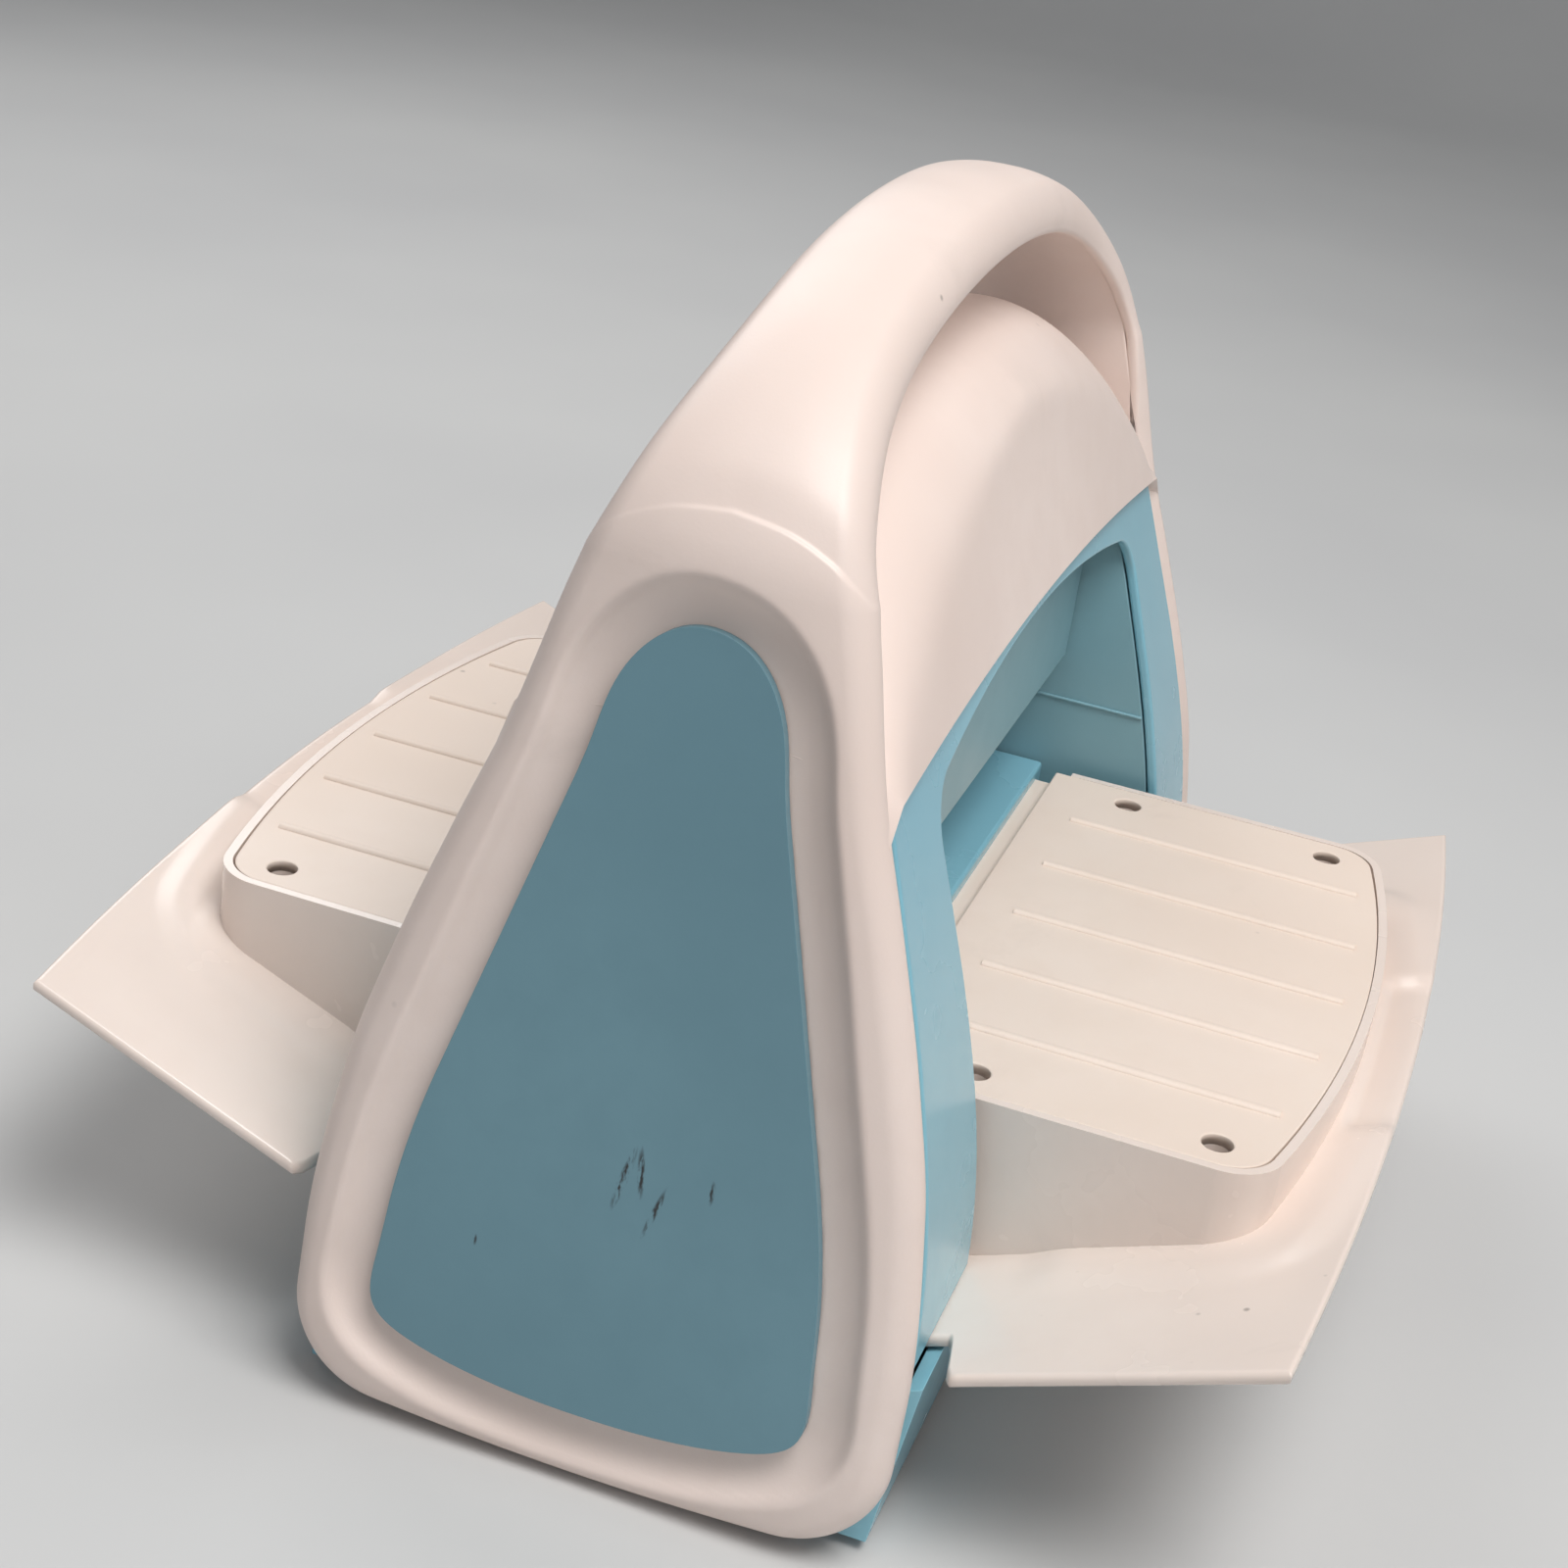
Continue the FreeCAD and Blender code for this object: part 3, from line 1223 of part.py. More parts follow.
def make_crank():
    """Shaft, arm, knob spindle and knob, all along X; the arm lies at arm_angle from upright."""
    arm_end = "dims.arm_x + dims.arm_thickness"
    keep("crank_shaft", stepped("crank_shaft", [
        ("dims.side_plate_x - 1", arm_end, "dims.shaft_radius"),
        ("dims.side_plate_x - 0.4 - dims.shaft_collar", "dims.side_plate_x - 0.4", "dims.shaft_radius + 2"),
    ], "0", CRANK_AXIS))

    sine, cosine = "sin(dims.arm_angle)", "cos(dims.arm_angle)"
    knob_y = f"-dims.arm_length * {sine}"
    knob_z = f"{CRANK_AXIS} + dims.arm_length * {cosine}"
    arm = new_body("crank_arm")
    for y, z, radius in (("0", CRANK_AXIS, "dims.arm_hub_radius"), (knob_y, knob_z, "dims.arm_end_radius")):
        disc = add_sketch(arm, "YZ_Plane", "dims.arm_x")
        add_circle(disc, y, z, radius)
        if arm.Tip is None:
            pad(arm, disc, "dims.arm_thickness")
            hub = add_sketch(arm, "YZ_Plane", "dims.arm_x - dims.hub_boss_length")
            add_circle(hub, "0", CRANK_AXIS, "dims.hub_boss_radius")
            pad(arm, hub, "dims.hub_boss_length + 1")
            web = add_sketch(arm, "YZ_Plane", "dims.arm_x")
            wide, narrow = "0.8 * dims.arm_hub_radius", "0.95 * dims.arm_end_radius"
            add_polygon(web, [
                (f"{wide} * {cosine}", f"{CRANK_AXIS} + {wide} * {sine}"),
                (f"-{wide} * {cosine}", f"{CRANK_AXIS} - {wide} * {sine}"),
                (f"{knob_y} - {narrow} * {cosine}", f"{knob_z} - {narrow} * {sine}"),
                (f"{knob_y} + {narrow} * {cosine}", f"{knob_z} + {narrow} * {sine}"),
            ])
            pad(arm, web, "dims.arm_thickness")
        else:
            pad(arm, disc, "dims.arm_thickness")
    holes = add_sketch(arm, "YZ_Plane", "dims.arm_x")
    add_circle(holes, "0", CRANK_AXIS, "dims.shaft_radius")
    add_circle(holes, knob_y, knob_z, "dims.spindle_radius")
    pocket_through(arm, holes)
    keep("crank_arm_screw", stepped("crank_arm_screw", [
        (arm_end, f"{arm_end} + dims.arm_screw_height", "dims.arm_screw_radius")
    ], "0", CRANK_AXIS))

    head_start = "dims.spindle_end - dims.spindle_head_height"
    keep("knob_spindle", stepped("knob_spindle", [
        ("dims.arm_x", "dims.spindle_end", "dims.spindle_radius"),
        (head_start, "dims.spindle_end", "dims.spindle_head_radius"),
    ], knob_y, knob_z))
    knob = stepped("crank_knob", [
        ("dims.knob_start", "dims.knob_end", "0.75 * dims.knob_radius"),
        ("dims.knob_start + 4", "dims.knob_end - 3", "0.9 * dims.knob_radius"),
        ("dims.knob_start + 10", "dims.knob_end - 6", "dims.knob_radius"),
    ], knob_y, knob_z)
    hole = "dims.spindle_radius + dims.running_gap"
    keep("crank_knob", bore(knob, hole, "crank_knob", "dims.knob_start", "dims.knob_end", knob_y, knob_z))


def make_escutcheon():
    """Collar round the crank shaft, standing on the right inset panel."""
    axis_z = size(CRANK_AXIS)
    face_x = cell("foot_half_width") - cell("side_lean") * axis_z - cell("recess_depth")
    start = face_x + cell("inset_thickness") - cell("escutcheon_radius") * cell("side_lean")
    length = cell("escutcheon_thickness") + 2 * cell("escutcheon_radius") * cell("side_lean")
    centre = Vector(start, 0, axis_z)
    ring = Part.makeCylinder(cell("escutcheon_radius"), length, centre, X_AXIS)
    ring = ring.cut(Part.makeCylinder(cell("shaft_radius") + cell("shaft_hole_gap"), length, centre, X_AXIS))
    behind = inset_block(4, -8 * cell("recess_depth"), -cell("recess_depth") + cell("inset_thickness"))
    keep_shape("crank_escutcheon", ring.cut(behind.mirror(Vector(), X_AXIS)))


make_outer_body()
make_top_cover()
make_housings()
make_base()
make_base_plate()
make_feet_and_base_screws()
make_passage_walls()
make_roller_covers()
for end_label, end_sign, end_placement in (("front", "-", FreeCAD.Placement()), ("rear", "", half_turn())):
    make_wing(f"wing_{end_label}", end_placement)
    make_riser(f"riser_{end_label}", end_placement)
    make_platform_plate(f"platform_{end_label}", end_placement)
    make_platform_screws(f"platform_screws_{end_label}", end_sign)
make_chassis()
make_bushes()
make_bracket()
make_gears()
make_rollers()
make_crank()
make_escutcheon()
doc.recompute()

# ---------------------------------------------------------------------------------------------
# Checks and export
# ---------------------------------------------------------------------------------------------
for item in doc.Objects:
    if "Invalid" in item.State or "Error" in item.State:
        raise RuntimeError(f"{item.Label} failed: {item.State}")
for label, item in nodes.items():
    if item.Shape.isNull() or not item.Shape.isValid():
        raise RuntimeError(f"{label} has no valid shape")
for label, item in nodes.items():
    item.Shape.exportStep(f"parts/{label}.step")
print(len(nodes), "sub-parts")
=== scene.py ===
import math

import bmesh
import bpy
import numpy as np
from mathutils import Matrix, Vector


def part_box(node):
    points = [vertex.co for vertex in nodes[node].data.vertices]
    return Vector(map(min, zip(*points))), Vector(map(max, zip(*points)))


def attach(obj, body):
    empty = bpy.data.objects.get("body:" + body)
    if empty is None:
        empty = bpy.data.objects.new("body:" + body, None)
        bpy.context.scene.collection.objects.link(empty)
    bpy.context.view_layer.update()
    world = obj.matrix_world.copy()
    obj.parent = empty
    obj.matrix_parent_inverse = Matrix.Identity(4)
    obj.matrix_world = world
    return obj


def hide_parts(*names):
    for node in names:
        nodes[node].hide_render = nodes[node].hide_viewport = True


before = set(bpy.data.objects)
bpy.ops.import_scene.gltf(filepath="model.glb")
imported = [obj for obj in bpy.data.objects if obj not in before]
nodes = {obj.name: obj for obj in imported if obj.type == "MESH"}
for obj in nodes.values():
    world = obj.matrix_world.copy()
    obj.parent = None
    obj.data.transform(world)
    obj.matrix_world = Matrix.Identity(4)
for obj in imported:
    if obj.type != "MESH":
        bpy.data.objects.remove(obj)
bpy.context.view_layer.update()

# Looks for a hand-cranked roller machine. Blender works in metres; the shape numbers below are
# millimetres in the row frame (front wing on -Y, crank on +X, +Z up).
MM = 0.001


def box_mm(node):
    low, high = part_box(node)
    return np.array(low) / MM, np.array(high) / MM


# ---------------------------------------------------------------------------------------------
# Sizes read from the frame
# ---------------------------------------------------------------------------------------------
LEAN = 0.135  # how far a leg leans inward for each millimetre of height
BEZEL_LOW, BEZEL_HIGH = box_mm("side_bezel_right")
ARCH_TOP = box_mm("handle_arch")[1][2]
FOOT_BOTTOM = BEZEL_LOW[2]
FOOT_HALF_DEPTH = BEZEL_HIGH[1]
FOOT_HALF_WIDTH = BEZEL_HIGH[0] + LEAN * FOOT_BOTTOM
SHOULDER = ARCH_TOP - 50  # height where the straight leg turns into the handle's crown
RISER_LOW, RISER_HIGH = box_mm("riser_front")
WING_LOW, WING_HIGH = box_mm("wing_front")
COVER_LOW, COVER_HIGH = box_mm("top_cover")
RISER_TOP = RISER_HIGH[2]


# ---------------------------------------------------------------------------------------------
# Number helpers
# ---------------------------------------------------------------------------------------------
def smooth_table(xs, ys):
    """Monotone cubic curve through points, as a function of arrays."""
    xs, ys = np.asarray(xs, float), np.asarray(ys, float)
    h = np.diff(xs)
    d = np.diff(ys) / h
    m = np.zeros_like(ys)
    for i in range(1, len(xs) - 1):
        if d[i - 1] * d[i] > 0:
            w1, w2 = 2 * h[i] + h[i - 1], h[i] + 2 * h[i - 1]
            m[i] = (w1 + w2) / (w1 / d[i - 1] + w2 / d[i])
    m[0], m[-1] = d[0], d[-1]

    def at(x):
        x = np.clip(np.asarray(x, float), xs[0], xs[-1])
        i = np.clip(np.searchsorted(xs, x) - 1, 0, len(h) - 1)
        t = (x - xs[i]) / h[i]
        return (
            ys[i] * (1 + 2 * t) * (1 - t) ** 2
            + m[i] * h[i] * t * (1 - t) ** 2
            + ys[i + 1] * t * t * (3 - 2 * t)
            - m[i + 1] * h[i] * t * t * (1 - t)
        )

    return at


def ease(x):
    x = np.clip(x, 0, 1)
    return x * x * (3 - 2 * x)


def softened(profile, low, high, sigma):
    """A one-variable profile blurred by sigma, as a fast table look-up."""
    xs = np.linspace(low - 4 * sigma, high + 4 * sigma, 1200)
    ys = profile(xs)
    step = xs[1] - xs[0]
    k = np.arange(-int(4 * sigma / step) - 1, int(4 * sigma / step) + 2) * step
    weights = np.exp(-0.5 * (k / sigma) ** 2)
    padded = np.pad(ys, len(k) // 2, mode="edge")
    blurred = np.convolve(padded, weights / weights.sum(), mode="valid")
    return lambda x: np.interp(x, xs, blurred)


def loop_distance(points, loop):
    """Distance from points (N,2) to a closed polyline (M,2), negative inside it."""
    a, b = loop, np.roll(loop, -1, axis=0)
    best = np.full(len(points), 1e9)
    inside = np.zeros(len(points), bool)
    for p, q in zip(a, b):
        edge = q - p
        t = np.clip(((points - p) @ edge) / max(edge @ edge, 1e-12), 0, 1)
        best = np.minimum(best, np.linalg.norm(points - p - t[:, None] * edge, axis=1))
        crosses = (p[1] > points[:, 1]) != (q[1] > points[:, 1])
        with np.errstate(divide="ignore", invalid="ignore"):
            at = p[0] + (points[:, 1] - p[1]) / (q[1] - p[1]) * (q[0] - p[0])
        inside ^= crosses & (points[:, 0] < at)
    return np.where(inside, -best, best)


# ---------------------------------------------------------------------------------------------
# Mesh helpers
# ---------------------------------------------------------------------------------------------
def make_object(name, verts, faces, angle=40.0):
    """Mesh object from millimetre points; faces wound outwards and shaded smooth below an angle."""
    mesh = bpy.data.meshes.new(name)
    mesh.from_pydata([tuple(float(c) * MM for c in v) for v in verts], [], [tuple(f) for f in faces])
    bm = bmesh.new()
    bm.from_mesh(mesh)
    bmesh.ops.remove_doubles(bm, verts=bm.verts, dist=1e-6)
    bmesh.ops.recalc_face_normals(bm, faces=bm.faces)
    bm.to_mesh(mesh)
    bm.free()
    mesh.shade_smooth()
    mesh.set_sharp_from_angle(angle=math.radians(angle))
    obj = bpy.data.objects.new(name, mesh)
    bpy.context.scene.collection.objects.link(obj)
    return obj


def grid_faces(rows, columns, start=0, flip=False):
    faces = []
    for r in range(rows - 1):
        for c in range(columns - 1):
            a = start + r * columns + c
            quad = (a, a + 1, a + columns + 1, a + columns)
            faces.append(quad[::-1] if flip else quad)
    return faces


def grid_border(rows, columns):
    """Indices round the edge of a grid, in order."""
    bottom = [c for c in range(columns)]
    right = [r * columns + columns - 1 for r in range(1, rows)]
    top = [(rows - 1) * columns + c for c in range(columns - 2, -1, -1)]
    left = [r * columns for r in range(rows - 2, 0, -1)]
    return bottom + right + top + left


def bridge(first, second):
    """Quads between two index loops of equal length."""
    n = len(first)
    return [(first[i], first[(i + 1) % n], second[(i + 1) % n], second[i]) for i in range(n)]


def stacked_loops(name, loops, angle=40.0):
    """Solid skin through a stack of closed loops of equal length, capped with single faces."""
    count = len(loops[0])
    verts = [p for loop in loops for p in loop]
    faces = []
    for k in range(len(loops) - 1):
        a = list(range(k * count, (k + 1) * count))
        b = list(range((k + 1) * count, (k + 2) * count))
        faces += bridge(a, b)
    faces.append(tuple(range(count))[::-1])
    faces.append(tuple(range((len(loops) - 1) * count, len(loops) * count)))
    return make_object(name, verts, faces, angle)


def join(name, objects):
    """Several objects as one."""
    bpy.ops.object.select_all(action="DESELECT")
    for obj in objects:
        obj.select_set(True)
    bpy.context.view_layer.objects.active = objects[0]
    bpy.ops.object.join()
    objects[0].name = name
    objects[0].data.name = name
    return objects[0]


def subtract(obj, cutters):
    """Cuts objects out of obj and removes them."""
    for cutter in cutters:
        modifier = obj.modifiers.new("cut", "BOOLEAN")
        modifier.operation, modifier.solver, modifier.object = "DIFFERENCE", "EXACT", cutter
        bpy.context.view_layer.objects.active = obj
        bpy.ops.object.modifier_apply(modifier=modifier.name)
        bpy.data.objects.remove(cutter)
    return obj


def upright_tube(name, centre, stations, segments=48, angle=35.0):
    """Turned shape about +Z: stations of (height, radius) above a centre."""
    turn = np.linspace(0, 2 * math.pi, segments, endpoint=False)
    loops = []
    for height, radius in stations:
        loops.append([np.array(centre) + (radius * math.cos(t), radius * math.sin(t), height)
                      for t in turn])
    return stacked_loops(name, loops, angle=angle)


WELD_REACH = 2e-6
FLAT_WITHIN = math.radians(0.8)
EDGE_SHARPER_THAN = math.radians(30)


def softened_edges(node, width):
    """Rounded edges on a carried-over CAD node, by modifiers only."""
    obj = nodes[node]
    weld = obj.modifiers.new("weld", "WELD")
    weld.merge_threshold = WELD_REACH
    flat = obj.modifiers.new("flat", "DECIMATE")
    flat.decimate_type, flat.angle_limit = "DISSOLVE", FLAT_WITHIN
    bevel = obj.modifiers.new("bevel", "BEVEL")
    bevel.width, bevel.segments = width * MM, 3
    bevel.limit_method, bevel.angle_limit = "ANGLE", EDGE_SHARPER_THAN
    bevel.harden_normals = False
    bevel.use_clamp_overlap = True
    weighted_normals(obj)


def weighted_normals(obj):
    normals = obj.modifiers.new("normals", "WEIGHTED_NORMAL")
    normals.keep_sharp = True


# ---------------------------------------------------------------------------------------------
# Materials
# ---------------------------------------------------------------------------------------------
def srgb(r, g, b):
    def channel(value):
        value /= 255
        return value / 12.92 if value <= 0.04045 else ((value + 0.055) / 1.055) ** 2.4

    return (channel(r), channel(g), channel(b), 1.0)


class Nodes:
    """Short way to write a node tree."""

    def __init__(self, name):
        self.material = bpy.data.materials.new(name)
        self.material.use_nodes = True
        self.tree = self.material.node_tree
        self.shader = self.tree.nodes["Principled BSDF"]
        self.place = self.add("ShaderNodeTexCoord").outputs["Object"]

    def add(self, kind, **settings):
        node = self.tree.nodes.new(kind)
        for key, value in settings.items():
            setattr(node, key, value)
        return node

    def link(self, source, target):
        self.tree.links.new(source, target)

    def noise(self, scale, detail=2.0, roughness=0.5, stretch=None, distortion=0.0):
        node = self.add("ShaderNodeTexNoise")
        node.inputs["Scale"].default_value = scale
        node.inputs["Detail"].default_value = detail
        node.inputs["Roughness"].default_value = roughness
        node.inputs["Distortion"].default_value = distortion
        source = self.place
        if stretch:
            mapping = self.add("ShaderNodeMapping")
            mapping.inputs["Scale"].default_value = stretch
            self.link(self.place, mapping.inputs["Vector"])
            source = mapping.outputs["Vector"]
        self.link(source, node.inputs["Vector"])
        return node.outputs["Fac"]

    def ramp(self, value, low, high, to_low=0.0, to_high=1.0):
        node = self.add("ShaderNodeMapRange")
        node.inputs["From Min"].default_value = low
        node.inputs["From Max"].default_value = high
        node.inputs["To Min"].default_value = to_low
        node.inputs["To Max"].default_value = to_high
        self.link(value, node.inputs["Value"])
        return node.outputs["Result"]

    def mix(self, factor, first, second):
        node = self.add("ShaderNodeMix", data_type="RGBA")
        for socket, value in ((0, factor), (6, first), (7, second)):
            if isinstance(value, bpy.types.NodeSocket):
                self.link(value, node.inputs[socket])
            else:
                node.inputs[socket].default_value = value
        return node.outputs[2]

    def math(self, operation, first, second):
        node = self.add("ShaderNodeMath", operation=operation)
        for socket, value in ((0, first), (1, second)):
            if isinstance(value, bpy.types.NodeSocket):
                self.link(value, node.inputs[socket])
            else:
                node.inputs[socket].default_value = value
        return node.outputs[0]

    def bump(self, height, strength, distance, under=None):
        node = self.add("ShaderNodeBump")
        node.inputs["Strength"].default_value = strength
        node.inputs["Distance"].default_value = distance
        self.link(height, node.inputs["Height"])
        if under:
            self.link(under, node.inputs["Normal"])
        return node.outputs["Normal"]

    def marks(self, spots):
        """Mask of small smudges: each a centre, half lengths and a turn about X, in metres."""
        total = None
        for centre, half, turn in spots:
            mapping = self.add("ShaderNodeMapping", vector_type="TEXTURE")
            mapping.inputs["Location"].default_value = centre
            mapping.inputs["Rotation"].default_value = turn
            mapping.inputs["Scale"].default_value = half
            self.link(self.place, mapping.inputs["Vector"])
            length = self.add("ShaderNodeVectorMath", operation="LENGTH")
            self.link(mapping.outputs["Vector"], length.inputs[0])
            inside = self.ramp(length.outputs["Value"], 1.0, 0.55)
            total = inside if total is None else self.math("MAXIMUM", total, inside)
        return total


MARK_BLACK = (0.035, 0.036, 0.038, 1)
SPECK_BLACK = (0.05, 0.045, 0.04, 1)
WAVE_HEIGHT = 0.5
PLASTIC_IOR = 1.47
COAT_ROUGHNESS = 0.22
SCATTER_RADIUS = (0.004, 0.003, 0.002)


def moulded(name, colour, shade, roughness, grain, grain_depth, coat=0.0, dirt=None, specks=0.0,
            marks=None, subsurface=0.0):
    """Moulded plastic: slow colour drift, uneven gloss, fine grain, handling dirt, specks and marks."""
    n = Nodes(name)
    shader = n.shader
    drift = n.ramp(n.noise(9.0, 3.0), 0.35, 0.65)
    base = n.mix(drift, colour, shade)
    fine = n.ramp(n.noise(90.0, 4.0, 0.6), 0.42, 0.72, 0.0, 0.35)
    base = n.mix(fine, base, shade)
    if dirt:
        patches = n.ramp(n.noise(26.0, 5.0, 0.65, distortion=0.6), 0.62, 0.85, 0.0, 0.16)
        base = n.mix(patches, base, dirt)
    if specks:
        dots = n.add("ShaderNodeTexVoronoi")
        dots.inputs["Scale"].default_value = 95.0
        n.link(n.place, dots.inputs["Vector"])
        near = n.ramp(dots.outputs["Distance"], 0.075, 0.03)
        some = n.ramp(n.noise(14.0, 2.0), 0.60, 0.66)
        chosen = n.math("MULTIPLY", n.math("MULTIPLY", near, some), specks)
        base = n.mix(chosen, base, SPECK_BLACK)
    rough = n.ramp(n.noise(22.0, 4.0, 0.6), 0.3, 0.7, roughness - 0.06, roughness + 0.07)
    if marks:
        streaks = n.ramp(n.noise(900.0, 3.0, 0.7, stretch=(1.0, 1.0, 0.22)), 0.44, 0.56)
        worn = n.math("MULTIPLY", n.marks(marks), streaks)
        base = n.mix(worn, base, MARK_BLACK)
        rough = n.math("ADD", rough, n.math("MULTIPLY", worn, 0.15))
    n.link(base, shader.inputs["Base Color"])
    n.link(rough, shader.inputs["Roughness"])
    shader.inputs["IOR"].default_value = PLASTIC_IOR
    if coat:
        shader.inputs["Coat Weight"].default_value = coat
        shader.inputs["Coat Roughness"].default_value = COAT_ROUGHNESS
    if subsurface:
        shader.inputs["Subsurface Weight"].default_value = subsurface
        shader.inputs["Subsurface Radius"].default_value = SCATTER_RADIUS
    texture = n.bump(n.noise(grain, 2.0, 0.5), 0.35, grain_depth * MM)
    waves = n.bump(n.noise(34.0, 2.0), 0.12, WAVE_HEIGHT * MM, under=texture)
    n.link(waves, shader.inputs["Normal"])
    return n.material


def metal(name, colour, roughness, brushed=None):
    n = Nodes(name)
    tint = n.ramp(n.noise(60.0, 4.0), 0.3, 0.7)
    darker = tuple(c * 0.72 for c in colour[:3]) + (1,)
    n.link(n.mix(tint, colour, darker), n.shader.inputs["Base Color"])
    n.shader.inputs["Metallic"].default_value = 1.0
    scratches = n.noise(420.0, 3.0, 0.6, stretch=brushed or (1, 1, 1))
    n.link(n.ramp(scratches, 0.3, 0.7, roughness - 0.08, roughness + 0.1), n.shader.inputs["Roughness"])
    n.link(n.bump(scratches, 0.25, 0.02 * MM), n.shader.inputs["Normal"])
    return n.material


def dress(node_names, material):
    for name in node_names:
        slots = nodes[name].data.materials
        slots.clear()
        slots.append(material)


def finish_piece(obj, material, replaced, body="machine"):
    obj.data.materials.clear()
    obj.data.materials.append(material)
    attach(obj, body)
    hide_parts(*replaced)


WHITE = srgb(236, 220, 212)
WHITE_SHADE = srgb(227, 209, 200)
CREAM = srgb(238, 222, 210)
CREAM_SHADE = srgb(230, 212, 198)
WING_WHITE = srgb(238, 224, 215)
WING_SHADE = srgb(231, 215, 205)
GREY_DIRT = srgb(168, 156, 146)
SLATE = srgb(112, 150, 163)
SLATE_SHADE = srgb(104, 141, 154)
PASSAGE = srgb(132, 172, 182)
PASSAGE_SHADE = srgb(124, 164, 175)
AQUA = srgb(136, 190, 206)
AQUA_SHADE = srgb(126, 180, 198)


# ---------------------------------------------------------------------------------------------
# Outer shell: legs, recesses and carrying handle as one moulded skin
# ---------------------------------------------------------------------------------------------
CORNER = 20.0  # radius of the foot's corners
BAND = 12.0  # how deep the skin's edge band reaches behind the face
LIP = 3.0  # thickness of the edge band
LEG_TRIM = 1.6  # the edge's draft on the legs, which fades out towards the handle
TRIM_FROM, TRIM_OVER = 140, 35  # heights over which the draft fades
LIP_TAPER = 1.9  # how far the band's rear edge stands further in than its front edge, on the legs
HANDLE_FROM, HANDLE_OVER, TAPER_OVER = 150, 60, 40
FOOT_BELLY = 2.0  # the foot's lower edge bows up by this much at its ends
RECESS_DEPTH, RECESS_WIDTH, RECESS_GAP = 5.2, 8.6, 0.6
UNDER_PANEL, PANEL_OVERLAP = 6.4, 1.2  # the floor under the panel and how far in it starts
FACE_CROWN, HANDLE_CROWN, CROWN_WIDTH = 3.0, 1.2, 26.0
EDGE_ROUNDING, HANDLE_ROUNDING = 5.0, 0.8
CREASE_STEP, CREASE_FADE, CREASE_REACH = 0.6, 9.0, 33.0
CREASE_LOW, CREASE_HIGH, CREASE_END = 166.0, 196.0, 168
LEG_ROWS, CREASE_ROWS, CROWN_ROW, SHELL_COLUMNS = 128, 80, 1.5, 135
CROWN_ROUNDNESS = 0.56
FAR = 200.0
leg_half_depth = smooth_table(
    [0, 0.155 * ARCH_TOP, 74, 0.42 * ARCH_TOP, 124, 0.63 * ARCH_TOP, 161, 171, 200,
     0.97 * ARCH_TOP, ARCH_TOP],
    [FOOT_HALF_DEPTH, FOOT_HALF_DEPTH, 59.4, 53.75, 45.3, 37.85, 32.9, 30.0, 22.2, 16.0, 15.7],
)
shell_crease_height = smooth_table(
    [0, 10, 18.7, 24, 28, 30.5, CREASE_REACH], [193.7, 192.3, 189, 185, 180.5, 176, CREASE_END])


def normal_of(tangents):
    """Sideways unit vectors of a loop's tangents."""
    side = np.column_stack([-tangents[:, 1], tangents[:, 0]])
    return side / np.linalg.norm(side, axis=1)[:, None]


def length_along(line):
    """Distance along a polyline at each of its points."""
    return np.concatenate([[0], np.cumsum(np.linalg.norm(np.diff(line, axis=0), axis=1))])


def arch_line():
    """Front view of the arch from the left foot over the top to the right: places and tangents."""
    half, rise = FOOT_HALF_WIDTH - LEAN * SHOULDER, ARCH_TOP - SHOULDER
    low = FOOT_BOTTOM + 2
    side = np.array([[half + LEAN * (SHOULDER - z), z] for z in np.linspace(low, SHOULDER, 500)])
    poles = np.array([
        [half, SHOULDER], [half - LEAN * CROWN_ROUNDNESS * rise, SHOULDER + CROWN_ROUNDNESS * rise],
        [CROWN_ROUNDNESS * half, ARCH_TOP], [0, ARCH_TOP],
    ])
    t = np.linspace(0, 1, 700)[1:, None]
    crown = ((1 - t) ** 3 * poles[0] + 3 * (1 - t) ** 2 * t * poles[1]
             + 3 * (1 - t) * t ** 2 * poles[2] + t ** 3 * poles[3])
    right = np.vstack([side, crown])
    left = right * [-1, 1]
    line = np.vstack([left, right[::-1][1:]])
    along = length_along(line)
    tangent = np.gradient(line, along, axis=0)
    tangent /= np.linalg.norm(tangent, axis=1)[:, None]
    return along, line, tangent


ALONG, LINE, TANGENT = arch_line()
LENGTH = ALONG[-1]


def on_arch(y, s, depth, sink=0.0):
    """Points of the row frame from places on the unrolled arch, sunk towards the foot."""
    y, s, depth = (np.asarray(v, float) for v in (y, s, depth))
    x, z = np.interp(s, ALONG, LINE[:, 0]), np.interp(s, ALONG, LINE[:, 1])
    tx, tz = np.interp(s, ALONG, TANGENT[:, 0]), np.interp(s, ALONG, TANGENT[:, 1])
    size = np.hypot(tx, tz)
    tx, tz = tx / size, tz / size
    near_left = np.where(s < LENGTH / 2, 1.0, -1.0)
    return np.stack([x + tz * depth - tx * sink * near_left, y + 0 * x,
                     z - tx * depth - tz * sink * near_left], axis=-1)


def inset_loop():
    """Outline of the inset panel on the unrolled arch, read from the CAD panel's own edge."""
    co = np.array([v.co for v in nodes["side_inset_left"].data.vertices]) / MM
    start = LINE[0]
    up = ((co[:, 0] - start[0]) * LEAN + (co[:, 2] - start[1])) / math.hypot(1, LEAN)
    flat = np.column_stack([co[:, 1], up])
    centre = (flat.max(axis=0) + flat.min(axis=0)) / 2
    flat = flat[np.argsort(np.arctan2(flat[:, 1] - centre[1], flat[:, 0] - centre[0]))]
    apart = np.linalg.norm(flat - np.roll(flat, 1, axis=0), axis=1) > 0.2
    flat = flat[apart]
    closed = np.vstack([flat, flat[:1]])
    along = length_along(closed)
    even = np.linspace(0, along[-1], 300, endpoint=False)
    return np.column_stack([np.interp(even, along, closed[:, k]) for k in (0, 1)])


